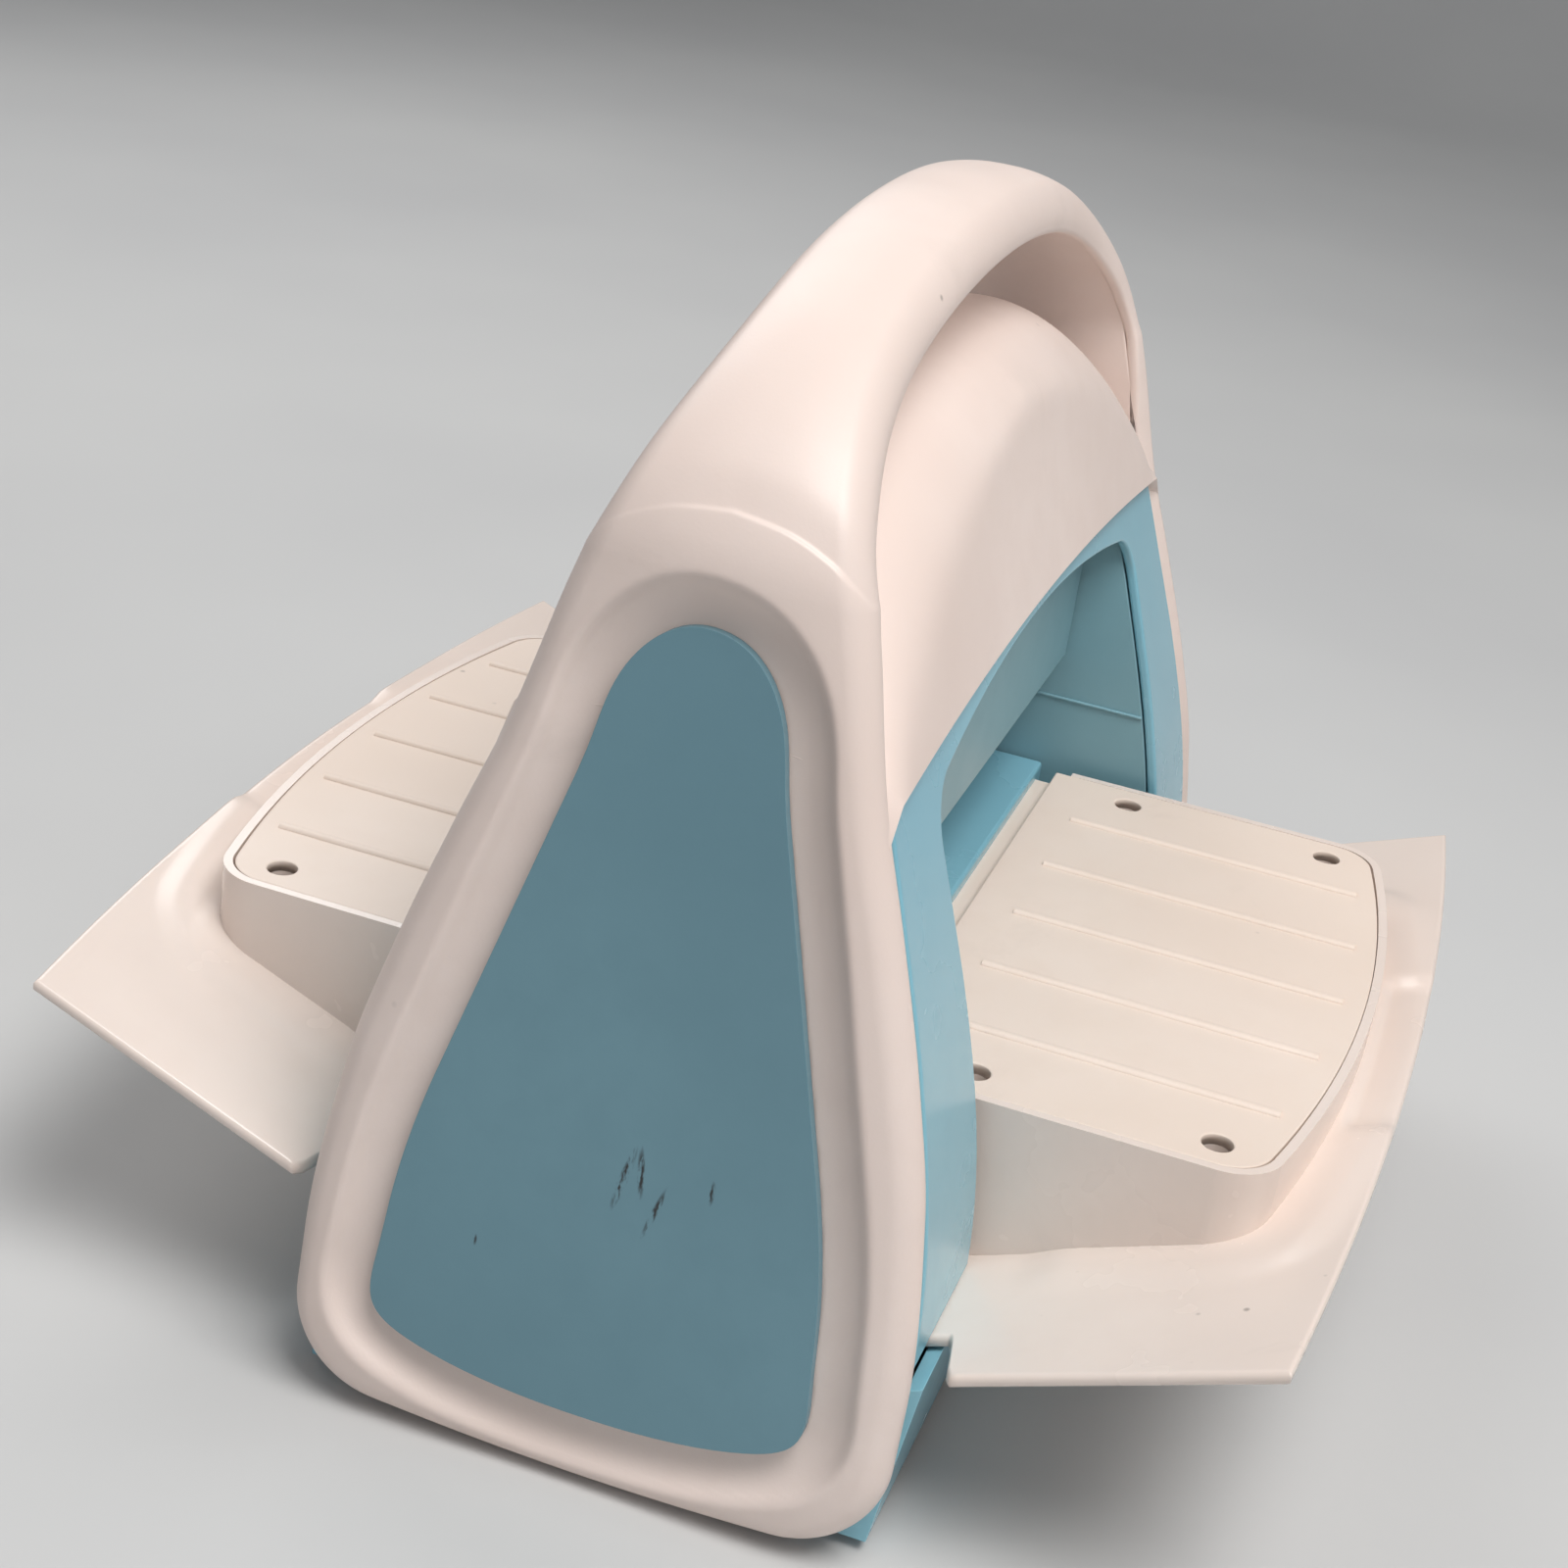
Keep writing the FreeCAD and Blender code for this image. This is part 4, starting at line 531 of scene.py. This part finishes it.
def outer_shell():
    """Outer skin as a height field on the unrolled arch, with an edge band and a flat back."""
    corner = CORNER * (1 - np.cos(np.linspace(0, math.pi / 2, 26)))
    lean_length = math.hypot(1, LEAN)
    to_s = lambda z: (z - FOOT_BOTTOM - 2) * lean_length
    crease_low, crease_high = to_s(CREASE_LOW), to_s(CREASE_HIGH)
    crown_rows = int((LENGTH / 2 - crease_high) / CROWN_ROW)
    middle = np.concatenate([
        np.linspace(CORNER, crease_low, LEG_ROWS)[1:],
        np.linspace(crease_low, crease_high, CREASE_ROWS)[1:],
        np.linspace(crease_high, LENGTH / 2, crown_rows)[1:],
    ])
    half_rows = np.concatenate([corner, middle])
    rows_s = np.concatenate([half_rows, LENGTH - half_rows[::-1][1:]])
    columns = SHELL_COLUMNS
    spread = np.sin(np.linspace(-math.pi / 2, math.pi / 2, columns))

    near = np.minimum(rows_s, LENGTH - rows_s)
    height = np.interp(rows_s, ALONG, LINE[:, 1])
    half = leg_half_depth(height) - LEG_TRIM * (1 - ease((height - TRIM_FROM) / TRIM_OVER))
    rounding = np.clip(CORNER - near, 0, None)
    half = half - CORNER + np.sqrt(CORNER ** 2 - rounding ** 2)

    y = half[:, None] * spread[None, :]
    s = np.repeat(rows_s[:, None], columns, axis=1)
    rows = len(rows_s)
    mid = len(half_rows)

    border = np.array(grid_border(rows, columns))
    flat = np.column_stack([y.ravel(), s.ravel()])
    loop = flat[border]
    half_flat = flat[: mid * columns]
    left_edge = np.vstack([
        np.column_stack([-half[:mid][::-1], rows_s[:mid][::-1]]),
        np.column_stack([y[0], s[0]]),
        np.column_stack([half[:mid], rows_s[:mid]]),
    ])
    beyond = LENGTH / 2 + 2 * FAR
    closed = np.vstack([left_edge, [[half[mid - 1], beyond], [-half[mid - 1], beyond]]])
    edge = np.clip(-loop_distance(half_flat, closed), 0, None)

    # recess round the inset panel
    outside = loop_distance(half_flat, inset_loop())
    cove = lambda x: RECESS_DEPTH * np.cos(
        np.clip((x - RECESS_GAP) / RECESS_WIDTH, 0, 1) * math.pi / 2) ** 0.55
    groove = softened(lambda x: np.where(x < -PANEL_OVERLAP, UNDER_PANEL, cove(x)), -3, 12, 0.25)
    rim = softened(cove, -3, 14, 0.7)
    blend = ease((outside - 3.5) / 1.5)
    depth = groove(outside) * (1 - blend) + rim(outside) * blend

    # crease between leg and handle, crisp on the front side and fading to the rear
    crease_y = np.linspace(-CREASE_REACH, CREASE_REACH, 90)
    crease = np.column_stack([crease_y, to_s(shell_crease_height(np.abs(crease_y)))])
    below = np.vstack([crease, [[FAR, to_s(CREASE_END)], [FAR, -50], [-FAR, -50],
                                [-FAR, to_s(CREASE_END)]]])
    above = loop_distance(half_flat, below)
    step = softened(lambda x: np.where(x > 0, CREASE_STEP * (1 - ease(x / CREASE_FADE)), 0.0),
                    -3, 26, 0.2)
    crisp = 1 - 0.8 * ease((half_flat[:, 0] + 4) / 22)
    depth += step(above) * crisp

    # crowned face and rounded edge
    height_here = np.interp(half_flat[:, 1], ALONG, LINE[:, 1])
    handle_share = ease((height_here - HANDLE_FROM) / HANDLE_OVER)
    width = np.minimum(CROWN_WIDTH, 0.97 * np.interp(half_flat[:, 1], rows_s, half))
    crown = FACE_CROWN + HANDLE_CROWN * handle_share
    depth += crown * np.clip(1 - edge / width, 0, 1) ** 2.3
    radius = EDGE_ROUNDING + HANDLE_ROUNDING * handle_share
    inside = np.clip(radius - edge, 0, None)
    depth += radius - np.sqrt(np.clip(radius ** 2 - inside ** 2, 0, None))

    depth = depth.reshape(mid, columns)
    depth = np.vstack([depth, depth[::-1][1:]])
    belly = FOOT_BELLY * (1 - spread[None, :] ** 2) * np.clip(1 - near[:, None] / CORNER, 0, 1) ** 2
    outer = on_arch(y, s, depth, belly).reshape(-1, 3)

    # edge band
    inward = normal_of(np.roll(loop, -1, axis=0) - np.roll(loop, 1, axis=0))
    if inward[0][1] < 0:
        inward = -inward
    belly_loop = (belly + 0 * y).ravel()[border]
    depth_loop = depth.ravel()[border]
    verts = [outer]
    faces = grid_faces(rows, columns)
    last, start = list(border), len(outer)
    total = len(border)
    height_loop = np.interp(loop[:, 1], ALONG, LINE[:, 1])
    taper = LIP_TAPER * (1 - ease((height_loop - HANDLE_FROM) / TAPER_OVER))
    rings = [(np.zeros(total), depth_loop + 0.4)]
    for offset, deep in [(0.0, BAND - 1.0), (0.15, BAND - 0.5), (0.5, BAND - 0.15), (1.0, BAND),
                         (LIP - 0.6, BAND), (LIP - 0.1, BAND - 0.3), (LIP, BAND - 0.8), (LIP, BAND - 2.6)]:
        rings.append((offset + taper, np.full(total, deep)))
    for offset, level in rings:
        place = loop + inward * offset[:, None]
        ring = on_arch(place[:, 0], place[:, 1], level, belly_loop)
        verts.append(ring)
        current = list(range(start, start + total))
        faces += bridge(current, last)
        last, start = current, start + total
    # back of the skin: straight strips across from edge to edge
    right = last[columns - 1: columns - 1 + rows]
    left = [last[0]] + last[:-(rows - 1):-1] + [last[2 * (columns - 1) + rows - 1]]
    faces.append(tuple(last[:columns]) + (right[1], left[1]))
    for k in range(1, rows - 2):
        faces.append((left[k], right[k], right[k + 1], left[k + 1]))
    far_row = last[columns + rows - 2: 2 * columns + rows - 2]
    faces.append((left[rows - 2], right[rows - 2]) + tuple(far_row))
    return make_object("outer_shell", np.vstack(verts), faces, angle=50.0)


# ---------------------------------------------------------------------------------------------
# Dome between the legs
# ---------------------------------------------------------------------------------------------
DOME_EDGE_MIDDLE = 151.0  # height of the lower edge at the middle
DOME_NECK, DOME_NECK_HEIGHT = 25.0, 190.0
DOME_BASE, DOME_FULLNESS, DOME_OVERHANG = 132.0, 0.688, 2.25
DOME_WALL = 2.4
# the ends reach on behind the legs as a low flange
FLANGE, FLANGE_DROP, FLANGE_TUCK, FLANGE_HEIGHT = 6.0, 0.9, 0.25, 14.0


def dome():
    """White cover between the legs: sides that flare downward, a soft crease and a crowned top."""
    low = COVER_LOW[2]
    end = COVER_HIGH[0]
    edge_fall = (DOME_EDGE_MIDDLE - low) / end ** 2
    flare = (COVER_HIGH[1] - DOME_NECK) / (DOME_NECK_HEIGHT - low)
    half = end + DOME_OVERHANG
    t = np.linspace(0, 1, 400)
    bx = half * ((1 - t) ** 3 + 3 * (1 - t) ** 2 * t + 3 * (1 - t) * t ** 2 * DOME_FULLNESS)
    bz = DOME_BASE + (COVER_HIGH[2] - DOME_BASE) * (
        3 * (1 - t) ** 2 * t * DOME_FULLNESS + 3 * (1 - t) * t ** 2 + t ** 3)
    crease_at = smooth_table(
        [0, 28, 54, 68, 80, 95, 103, end], [190.5, 187, 181, 177, 171.5, 163, 158, 149])
    xs = (end + FLANGE) * np.sin(np.linspace(-math.pi / 2, math.pi / 2, 127))
    columns = 97
    loops_out, loops_in = [], []
    for x in xs:
        a = abs(x)
        past_end = max(a - end, 0.0)
        bottom = DOME_EDGE_MIDDLE - edge_fall * x * x - FLANGE_DROP * past_end
        top = max(np.interp(a, bx[::-1], bz[::-1]), bottom + FLANGE_HEIGHT)
        crease_z = max(min(crease_at(a), top - 1.2), bottom + 2.0)
        y_side = lambda z: DOME_NECK + flare * (DOME_NECK_HEIGHT - z) - FLANGE_TUCK * past_end
        crease_y = y_side(crease_z)
        side_y = np.linspace(y_side(bottom), crease_y, 60)
        side_z = np.linspace(bottom, crease_z, 60)
        crown_y = np.linspace(crease_y, 0, 60)[1:]
        crown_z = top - (top - crease_z) * (crown_y / crease_y) ** 2
        line = np.column_stack([np.concatenate([side_y, crown_y]), np.concatenate([side_z, crown_z])])
        line = np.vstack([line, line[::-1][1:] * [-1, 1]])
        along = length_along(line)
        fine = np.linspace(0, along[-1], 700)
        fy, fz = np.interp(fine, along, line[:, 0]), np.interp(fine, along, line[:, 1])
        sigma = 2.2 + 5.0 * ease((a - 20) / 80)
        step = fine[1] - fine[0]
        reach = int(3 * sigma / step)
        weights = np.exp(-0.5 * (np.arange(-reach, reach + 1) * step / sigma) ** 2)
        weights /= weights.sum()

        def blur(values):
            first = 2 * values[0] - values[reach:0:-1]
            final = 2 * values[-1] - values[-2:-reach - 2:-1]
            return np.convolve(np.concatenate([first, values, final]), weights, mode="valid")

        fy, fz = blur(fy), blur(fz)
        pick = np.linspace(0, fine[-1], columns)
        py, pz = np.interp(pick, fine, fy), np.interp(pick, fine, fz)
        normal = normal_of(np.column_stack([np.gradient(py), np.gradient(pz)]))
        if normal[columns // 2][1] < 0:
            normal = -normal
        loops_out.append([(x, v, w) for v, w in zip(py, pz)])
        inner_z = np.maximum(pz - normal[:, 1] * DOME_WALL, bottom)
        inner_z[0] = inner_z[-1] = bottom
        loops_in.append([(x * 0.985, v, w) for v, w in zip(py - normal[:, 0] * DOME_WALL, inner_z)])
    outer = np.array(loops_out)
    inner = np.array(loops_in)
    rows = len(xs)
    verts = np.vstack([outer.reshape(-1, 3), inner.reshape(-1, 3)])
    count = rows * columns
    faces = grid_faces(rows, columns) + grid_faces(rows, columns, count, flip=True)
    border = grid_border(rows, columns)
    faces += bridge([i + count for i in border], border)
    obj = make_object("dome_cover", verts, faces, angle=32.0)
    bevel = obj.modifiers.new("edge", "BEVEL")
    bevel.width, bevel.segments, bevel.limit_method = 0.45 * MM, 3, "ANGLE"
    bevel.angle_limit = math.radians(50)
    return obj


# ---------------------------------------------------------------------------------------------
# Wings
# ---------------------------------------------------------------------------------------------
PLATFORM_BOW = 10.3  # how far the outer end stands past the corners
PLATFORM_CORNER = 12.0


def platform_loop(grow):
    """Plan outline of the front platform moved outward: straight inside, bowed outer end."""
    half, inner = RISER_HIGH[0] + grow, RISER_HIGH[1]
    side, reach = RISER_LOW[1] + PLATFORM_BOW - grow, RISER_LOW[1] - grow
    radius = PLATFORM_CORNER + grow
    bow = (half ** 2 + (side - reach) ** 2) / (2 * (side - reach))
    inner_bow, centre_y = bow - radius, reach + bow
    corner_x = half - radius
    corner_y = centre_y - math.sqrt(inner_bow ** 2 - corner_x ** 2)
    start = math.atan2(corner_y - centre_y, corner_x)
    points = [(-half, inner)]
    for t in np.linspace(math.pi, math.pi - start, 14):
        points.append((-corner_x + radius * math.cos(t), corner_y + radius * math.sin(t)))
    for t in np.linspace(math.pi - start, 2 * math.pi + start, 40)[1:-1]:
        points.append((bow * math.cos(t), centre_y + bow * math.sin(t)))
    for t in np.linspace(start, 0, 14):
        points.append((corner_x + radius * math.cos(t), corner_y + radius * math.sin(t)))
    points.append((half, inner))
    return np.array(points)


WING_ROOT, WING_NECK, WING_SHOULDER, WING_SIDE_REACH = 49.0, 112.0, 66.5, 127.5
WING_SLOPE, WING_DROP, WING_THICKNESS, WING_ROUNDING = 0.395, 9.0, 3.1, 1.25
DIP_DEPTH, DIP_HALF, DIP_REACH = 1.5, 31, 8.0
SWELL = 1.1


def wing(name, turn):
    """Sloping plate with a bowed outer edge, finger recess and a soft step round the riser."""
    half, reach, edge_z = WING_HIGH[0], -WING_LOW[1], RISER_TOP - WING_DROP
    v = np.concatenate([np.linspace(0, 0.185, 9)[:-1], np.linspace(0.185, 0.215, 9)[:-1],
                        0.215 + (1 - 0.215) * np.sin(np.linspace(0, math.pi / 2, 84))])
    across = np.sin(np.linspace(-math.pi / 2, math.pi / 2, 151))
    rows, columns = len(v), len(across)
    outer_reach = lambda x: reach - (reach - WING_SIDE_REACH) * (x / half) ** 2
    y = np.zeros((rows, columns))
    x = np.zeros((rows, columns))
    for i, value in enumerate(v):
        depth_y = WING_ROOT + value * (WING_SIDE_REACH - WING_ROOT)
        width = WING_NECK + (half - WING_NECK) * ease((depth_y - WING_SHOULDER + 2.5) / 4.0)
        x[i] = across * width
        y[i] = -(WING_ROOT + value * (outer_reach(x[i]) - WING_ROOT))
    z = edge_z - (WING_SIDE_REACH + y) * WING_SLOPE
    # finger recess in the outer edge
    from_edge = outer_reach(x) + y
    dip = (1 - ease((np.abs(x) - DIP_HALF) / 7)) * (1 - ease((from_edge - DIP_REACH) / 3.5))
    z = z - DIP_DEPTH * dip
    # soft raised contour round the riser's foot
    flat = np.column_stack([x.ravel(), y.ravel()])
    away = loop_distance(flat, platform_loop(0.0)).reshape(x.shape)
    z = z + SWELL * (1 - ease((away - 8.0) / 7.0)) * ease((-y - 70) / 10)
    # rounded rims
    side_gap = np.abs(np.abs(x) - np.abs(x[:, -1:]))
    gap = np.minimum(from_edge, side_gap)
    bite = np.clip(WING_ROUNDING - gap, 0, None)
    z = z - (WING_ROUNDING - np.sqrt(np.clip(WING_ROUNDING ** 2 - bite ** 2, 0, None)))
    top = np.stack([x, y, z], axis=-1).reshape(-1, 3)
    border = np.array(grid_border(rows, columns))
    base_z = edge_z - (WING_SIDE_REACH + y) * WING_SLOPE - DIP_DEPTH * dip
    bottom = np.stack([x, y, base_z - WING_THICKNESS], axis=-1).reshape(-1, 3)
    bottom[:, 2] += np.where(gap.ravel() < 1.0, (1.0 - gap.ravel()) * 0.8, 0.0)
    verts = np.vstack([top, bottom])
    count = len(top)
    faces = grid_faces(rows, columns) + grid_faces(rows, columns, count, flip=True)
    faces += bridge([i + count for i in border], list(border))
    if turn:
        verts = verts * [-1, -1, 1]
    return make_object(name, verts, faces, angle=60.0)


# ---------------------------------------------------------------------------------------------
# Ribbed platforms
# ---------------------------------------------------------------------------------------------
RIBS_AT = (-55.0, -27.5, 0.0, 27.5, 55.0)
RIB_HALF, RIB_HEIGHT, RIB_SINK = 1.35, 0.95, 0.3
RIB_INNER, RIB_MARGIN, PLATE_REACH = 42.0, 7.0, 123.3
WELLS_X, WELLS_Y = (-72, 72), (-52.5, -102.0)
PLATE_GAP, PLATE_SETBACK = 2.12, 1.8
LEDGE, LEDGE_UNDER = 6.0, 4.5  # how far the inner ledge reaches past the riser and under the plate


def capsule(x, start, end, level):
    """Slim rounded rib along Y."""
    swell = [math.sin(math.pi / 2 * k / 8) for k in range(1, 9)]
    stations = [(start + RIB_HALF * (1 - size), size) for size in swell]
    stations += [(end - RIB_HALF * (1 - size), size) for size in reversed(swell)]
    arc = 13
    loops = []
    for y, size in stations:
        turn = [math.pi * j / (arc - 1) for j in range(arc)]
        loop = [(x + RIB_HALF * size * math.cos(a), y, level + RIB_HEIGHT * size * math.sin(a))
                for a in turn]
        loop += [(x - RIB_HALF * size, y, level - RIB_SINK), (x + RIB_HALF * size, y, level - RIB_SINK)]
        loops.append(loop)
    return stacked_loops("rib", loops, angle=60.0)


def platform(name, turn):
    """Ribbed plate with a rounded rim and four screw wells, and the ledge at its inner end."""
    top = RISER_TOP
    loop = platform_loop(-PLATE_GAP)
    loop[:, 1] = np.minimum(loop[:, 1], RISER_HIGH[1] - PLATE_GAP - PLATE_SETBACK)
    centre = loop.mean(axis=0)

    def ring(inset, level):
        side = normal_of(np.roll(loop, -1, axis=0) - np.roll(loop, 1, axis=0))
        side *= np.sign(((centre - loop) * side).sum(axis=1))[:, None]
        moved = loop + side * inset
        return [(p[0], p[1], level) for p in moved]

    rim = [(0.35, -2.5), (0.0, -2.2), (0.0, -0.25), (0.08, -0.1), (0.25, -0.01), (0.5, 0.03)]
    plate = stacked_loops(name, [ring(inset, top + rise) for inset, rise in rim], angle=30.0)
    well = [(0, 3.15), (3.4, 3.15), (3.75, 3.3), (4.05, 3.75), (5, 4.8)]
    cutters = [upright_tube("well", (x, y, top - 4), well, angle=25.0) for x in WELLS_X for y in WELLS_Y]
    plate = subtract(plate, cutters)
    rib_end = lambda x: PLATE_REACH - PLATFORM_BOW * (x / RISER_HIGH[0]) ** 2 - RIB_MARGIN
    ribs = [capsule(x, -rib_end(x), -RIB_INNER, top - 0.1) for x in RIBS_AT]
    half, low, high = RISER_HIGH[0] - 3.0, RISER_HIGH[1] - LEDGE_UNDER, RISER_HIGH[1] + LEDGE
    ledge = stacked_loops("ledge", [
        [(-half, low, z), (half, low, z), (half, high, z), (-half, high, z)]
        for z in (top - 6.0, top - 3.0)])
    plate = join(name, [plate, ledge] + ribs)
    if turn:
        plate.data.transform(Matrix.Rotation(math.pi, 4, "Z"))
    weighted_normals(plate)
    return plate


# ---------------------------------------------------------------------------------------------
# Crank knob
# ---------------------------------------------------------------------------------------------
KNOB_BORE = 3.6


def knob():
    """Turned grip with a bore along its axis."""
    low, high = box_mm("crank_knob")
    centre = (low + high) / 2
    length, radius = high[0] - low[0], (high[1] - low[1]) / 2
    outline = smooth_table(
        [0, 0.03, 0.10, 0.25, 0.5, 0.72, 0.88, 0.96, 1.0],
        [0.66, 0.74, 0.80, 0.88, 0.97, 1.0, 0.93, 0.80, 0.62])
    stations = [(0.0, KNOB_BORE)]
    stations += [(length * u, radius * float(outline(u))) for u in np.linspace(0, 1, 44)]
    stations += [(length, KNOB_BORE), (length * 0.5, KNOB_BORE)]
    segments, count = 72, len(stations)
    turn = np.linspace(0, 2 * math.pi, segments, endpoint=False)
    verts = [(low[0] + along, centre[1] + r * math.cos(t), centre[2] + r * math.sin(t))
             for along, r in stations for t in turn]
    faces = []
    for k in range(count):
        after = (k + 1) % count
        faces += bridge(list(range(k * segments, (k + 1) * segments)),
                        list(range(after * segments, (after + 1) * segments)))
    return make_object("knob_grip", verts, faces, angle=35.0)


# ---------------------------------------------------------------------------------------------
# Pieces and finishes
# ---------------------------------------------------------------------------------------------
def spot(x, y, z, length, width, turn=0.0):
    """One smudge for Nodes.marks: place and half lengths in millimetres, turn in degrees."""
    return ((x * MM, y * MM, z * MM), (6 * MM, width * MM, length * MM), (math.radians(turn), 0, 0))


shell_white = moulded("shell_white", WHITE, WHITE_SHADE, 0.42, 1500, 0.05, dirt=GREY_DIRT, specks=0.5,
                      subsurface=0.04)
dome_white = moulded("dome_white", WHITE, WHITE_SHADE, 0.44, 1500, 0.05, dirt=GREY_DIRT, specks=0.4,
                     marks=[spot(14, -36, 171, 7.0, 0.35)], subsurface=0.04)
wing_white = moulded("wing_white", WING_WHITE, WING_SHADE, 0.24, 900, 0.02, coat=0.35, dirt=GREY_DIRT,
                     specks=0.5, subsurface=0.03)
platform_cream = moulded("platform_cream", CREAM, CREAM_SHADE, 0.46, 1700, 0.05, dirt=GREY_DIRT,
                         specks=0.4, subsurface=0.03)
slate = moulded("slate_panel", SLATE, SLATE_SHADE, 0.47, 1900, 0.04, specks=0.2, marks=[
    spot(-133, -2, 67, 8, 1.1, 12), spot(-133, -5, 69, 6, 0.9, -8), spot(-134, -9, 62, 7, 0.8, 16),
    spot(-134, -19, 69, 3.2, 0.9), spot(-137, 25, 45, 1.6, 0.5)])
aqua = moulded("aqua_shell", AQUA, AQUA_SHADE, 0.26, 1100, 0.02, coat=0.3, specks=0.6)
aqua_dark = moulded("aqua_inner", PASSAGE, PASSAGE_SHADE, 0.44, 1500, 0.04, specks=0.4)
steel = metal("steel", (0.52, 0.53, 0.55, 1), 0.30, brushed=(0.1, 1, 1))
zinc = metal("zinc", (0.60, 0.61, 0.62, 1), 0.42)
bronze = metal("bronze", (0.55, 0.36, 0.16, 1), 0.38)
gear_nylon = moulded("gear_nylon", srgb(214, 208, 192), srgb(200, 192, 172), 0.5, 1200, 0.04)
rubber = moulded("rubber", srgb(46, 46, 48), srgb(36, 36, 38), 0.75, 1400, 0.08)

finish_piece(outer_shell(), shell_white,
             ["side_bezel_left", "side_bezel_right", "handle_arch"])
finish_piece(dome(), dome_white, ["top_cover"])
for end, turned in (("front", False), ("rear", True)):
    finish_piece(wing(f"{end}_wing", turned), wing_white, [f"wing_{end}"])
    finish_piece(platform(f"{end}_platform", turned), platform_cream, [f"platform_{end}"])
finish_piece(knob(), aqua, ["crank_knob"], body="knob")

dress(["handle_liner", "crank_arm", "crank_escutcheon"], shell_white)
dress(["riser_front", "riser_rear"], wing_white)
dress(["side_inset_left", "side_inset_right"], slate)
dress(["housing_front", "housing_rear", "base_housing", "lower_roller_cover"], aqua)
dress(["passage_wall_left", "passage_wall_right", "upper_roller_cover"], aqua_dark)
dress(["chassis_plate_left", "chassis_plate_right", "crank_bracket", "base_plate", "base_screws",
       "tie_rod_nuts", "bracket_screws", "platform_screws_front", "platform_screws_rear",
       "crank_arm_screw", "bracket_spacers"], zinc)
dress(["tie_rods", "upper_roller", "lower_roller", "upper_roller_ring", "lower_roller_ring",
       "crank_shaft", "knob_spindle"], steel)
dress(["roller_bushes_left", "roller_bushes_right", "crank_bushes"], bronze)
dress(["upper_roller_gear", "lower_roller_gear", "crank_pinion"], gear_nylon)
dress(["rubber_feet"], rubber)

for node_name, edge_width in (
    ("side_inset_left", 0.5), ("side_inset_right", 0.5), ("housing_front", 0.8), ("housing_rear", 0.8),
    ("base_housing", 0.8), ("riser_front", 1.1), ("riser_rear", 1.1), ("upper_roller_cover", 1.0),
    ("lower_roller_cover", 1.0), ("passage_wall_left", 0.3), ("passage_wall_right", 0.3),
    ("handle_liner", 0.4), ("crank_arm", 1.5), ("crank_escutcheon", 0.5), ("rubber_feet", 0.5),
):
    softened_edges(node_name, edge_width)


# ---------------------------------------------------------------------------------------------
# Stage: floor, lights and camera
# ---------------------------------------------------------------------------------------------
FLOOR_HALF, FLOOR_FLAT, FLOOR_CURVE, FLOOR_TOP = 8.0, 1.6, 0.7, 2.4


def floor():
    """Pale floor that curves up far behind the object."""
    profile = [(-FLOOR_HALF, 0.0), (FLOOR_FLAT, 0.0)]
    for k in range(1, 13):
        t = math.pi / 2 * k / 12
        profile.append((FLOOR_FLAT + FLOOR_CURVE * math.sin(t), FLOOR_CURVE * (1 - math.cos(t))))
    profile.append((FLOOR_FLAT + FLOOR_CURVE, FLOOR_TOP))
    mesh = bpy.data.meshes.new("floor")
    verts = [(p, u, h) for u in (-FLOOR_HALF, FLOOR_HALF) for p, h in profile]
    count = len(profile)
    faces = [(i, i + 1, count + i + 1, count + i) for i in range(count - 1)]
    mesh.from_pydata(verts, [], faces)
    mesh.shade_smooth()
    obj = bpy.data.objects.new("floor", mesh)
    bpy.context.scene.collection.objects.link(obj)
    n = Nodes("floor_paint")
    n.link(n.mix(n.ramp(n.noise(3.0, 3.0), 0.3, 0.7), srgb(206, 206, 205), srgb(198, 198, 198)),
           n.shader.inputs["Base Color"])
    n.shader.inputs["Roughness"].default_value = 0.75
    obj.data.materials.append(n.material)


def softbox(name, place, aim, size, power, colour=(1, 1, 1)):
    light = bpy.data.lights.new(name, "AREA")
    light.shape, light.size, light.size_y = "RECTANGLE", size[0], size[1]
    light.energy, light.color = power, colour
    obj = bpy.data.objects.new(name, light)
    obj.location = place
    obj.rotation_euler = (Vector(aim) - Vector(place)).to_track_quat("-Z", "Y").to_euler()
    bpy.context.scene.collection.objects.link(obj)


floor()
softbox("key", (-0.32, -0.42, 1.2), (0, 0, 0.12), (0.7, 0.7), 14.0, (1.0, 0.99, 0.975))
softbox("fill", (-1.3, -0.9, 0.7), (0, 0, 0.1), (1.4, 1.2), 2.2, (0.97, 0.985, 1.0))
softbox("back", (0.7, 0.7, 0.9), (0, 0, 0.12), (0.8, 0.7), 5.0)
world = bpy.data.worlds.new("studio")
world.use_nodes = True
sky = world.node_tree.nodes["Background"]
sky.inputs["Color"].default_value = (0.80, 0.82, 0.85, 1)
sky.inputs["Strength"].default_value = 0.28
bpy.context.scene.world = world
bpy.context.scene.view_settings.view_transform = "Standard"

CAMERA_PLACE = (-0.5305, -0.1313, 0.3454)
CAMERA_LENS = 61.62
CAMERA_TURN = (math.radians(64.895), math.radians(-7.782), math.radians(-70.936))
camera_data = bpy.data.cameras.new("camera")
camera_data.sensor_width = 36.0
camera_data.lens = CAMERA_LENS
camera_data.clip_start, camera_data.clip_end = 0.02, 20.0
camera = bpy.data.objects.new("camera", camera_data)
bpy.context.scene.collection.objects.link(camera)
camera.location = CAMERA_PLACE
camera.rotation_mode = "XYZ"
camera.rotation_euler = CAMERA_TURN
bpy.context.scene.camera = camera
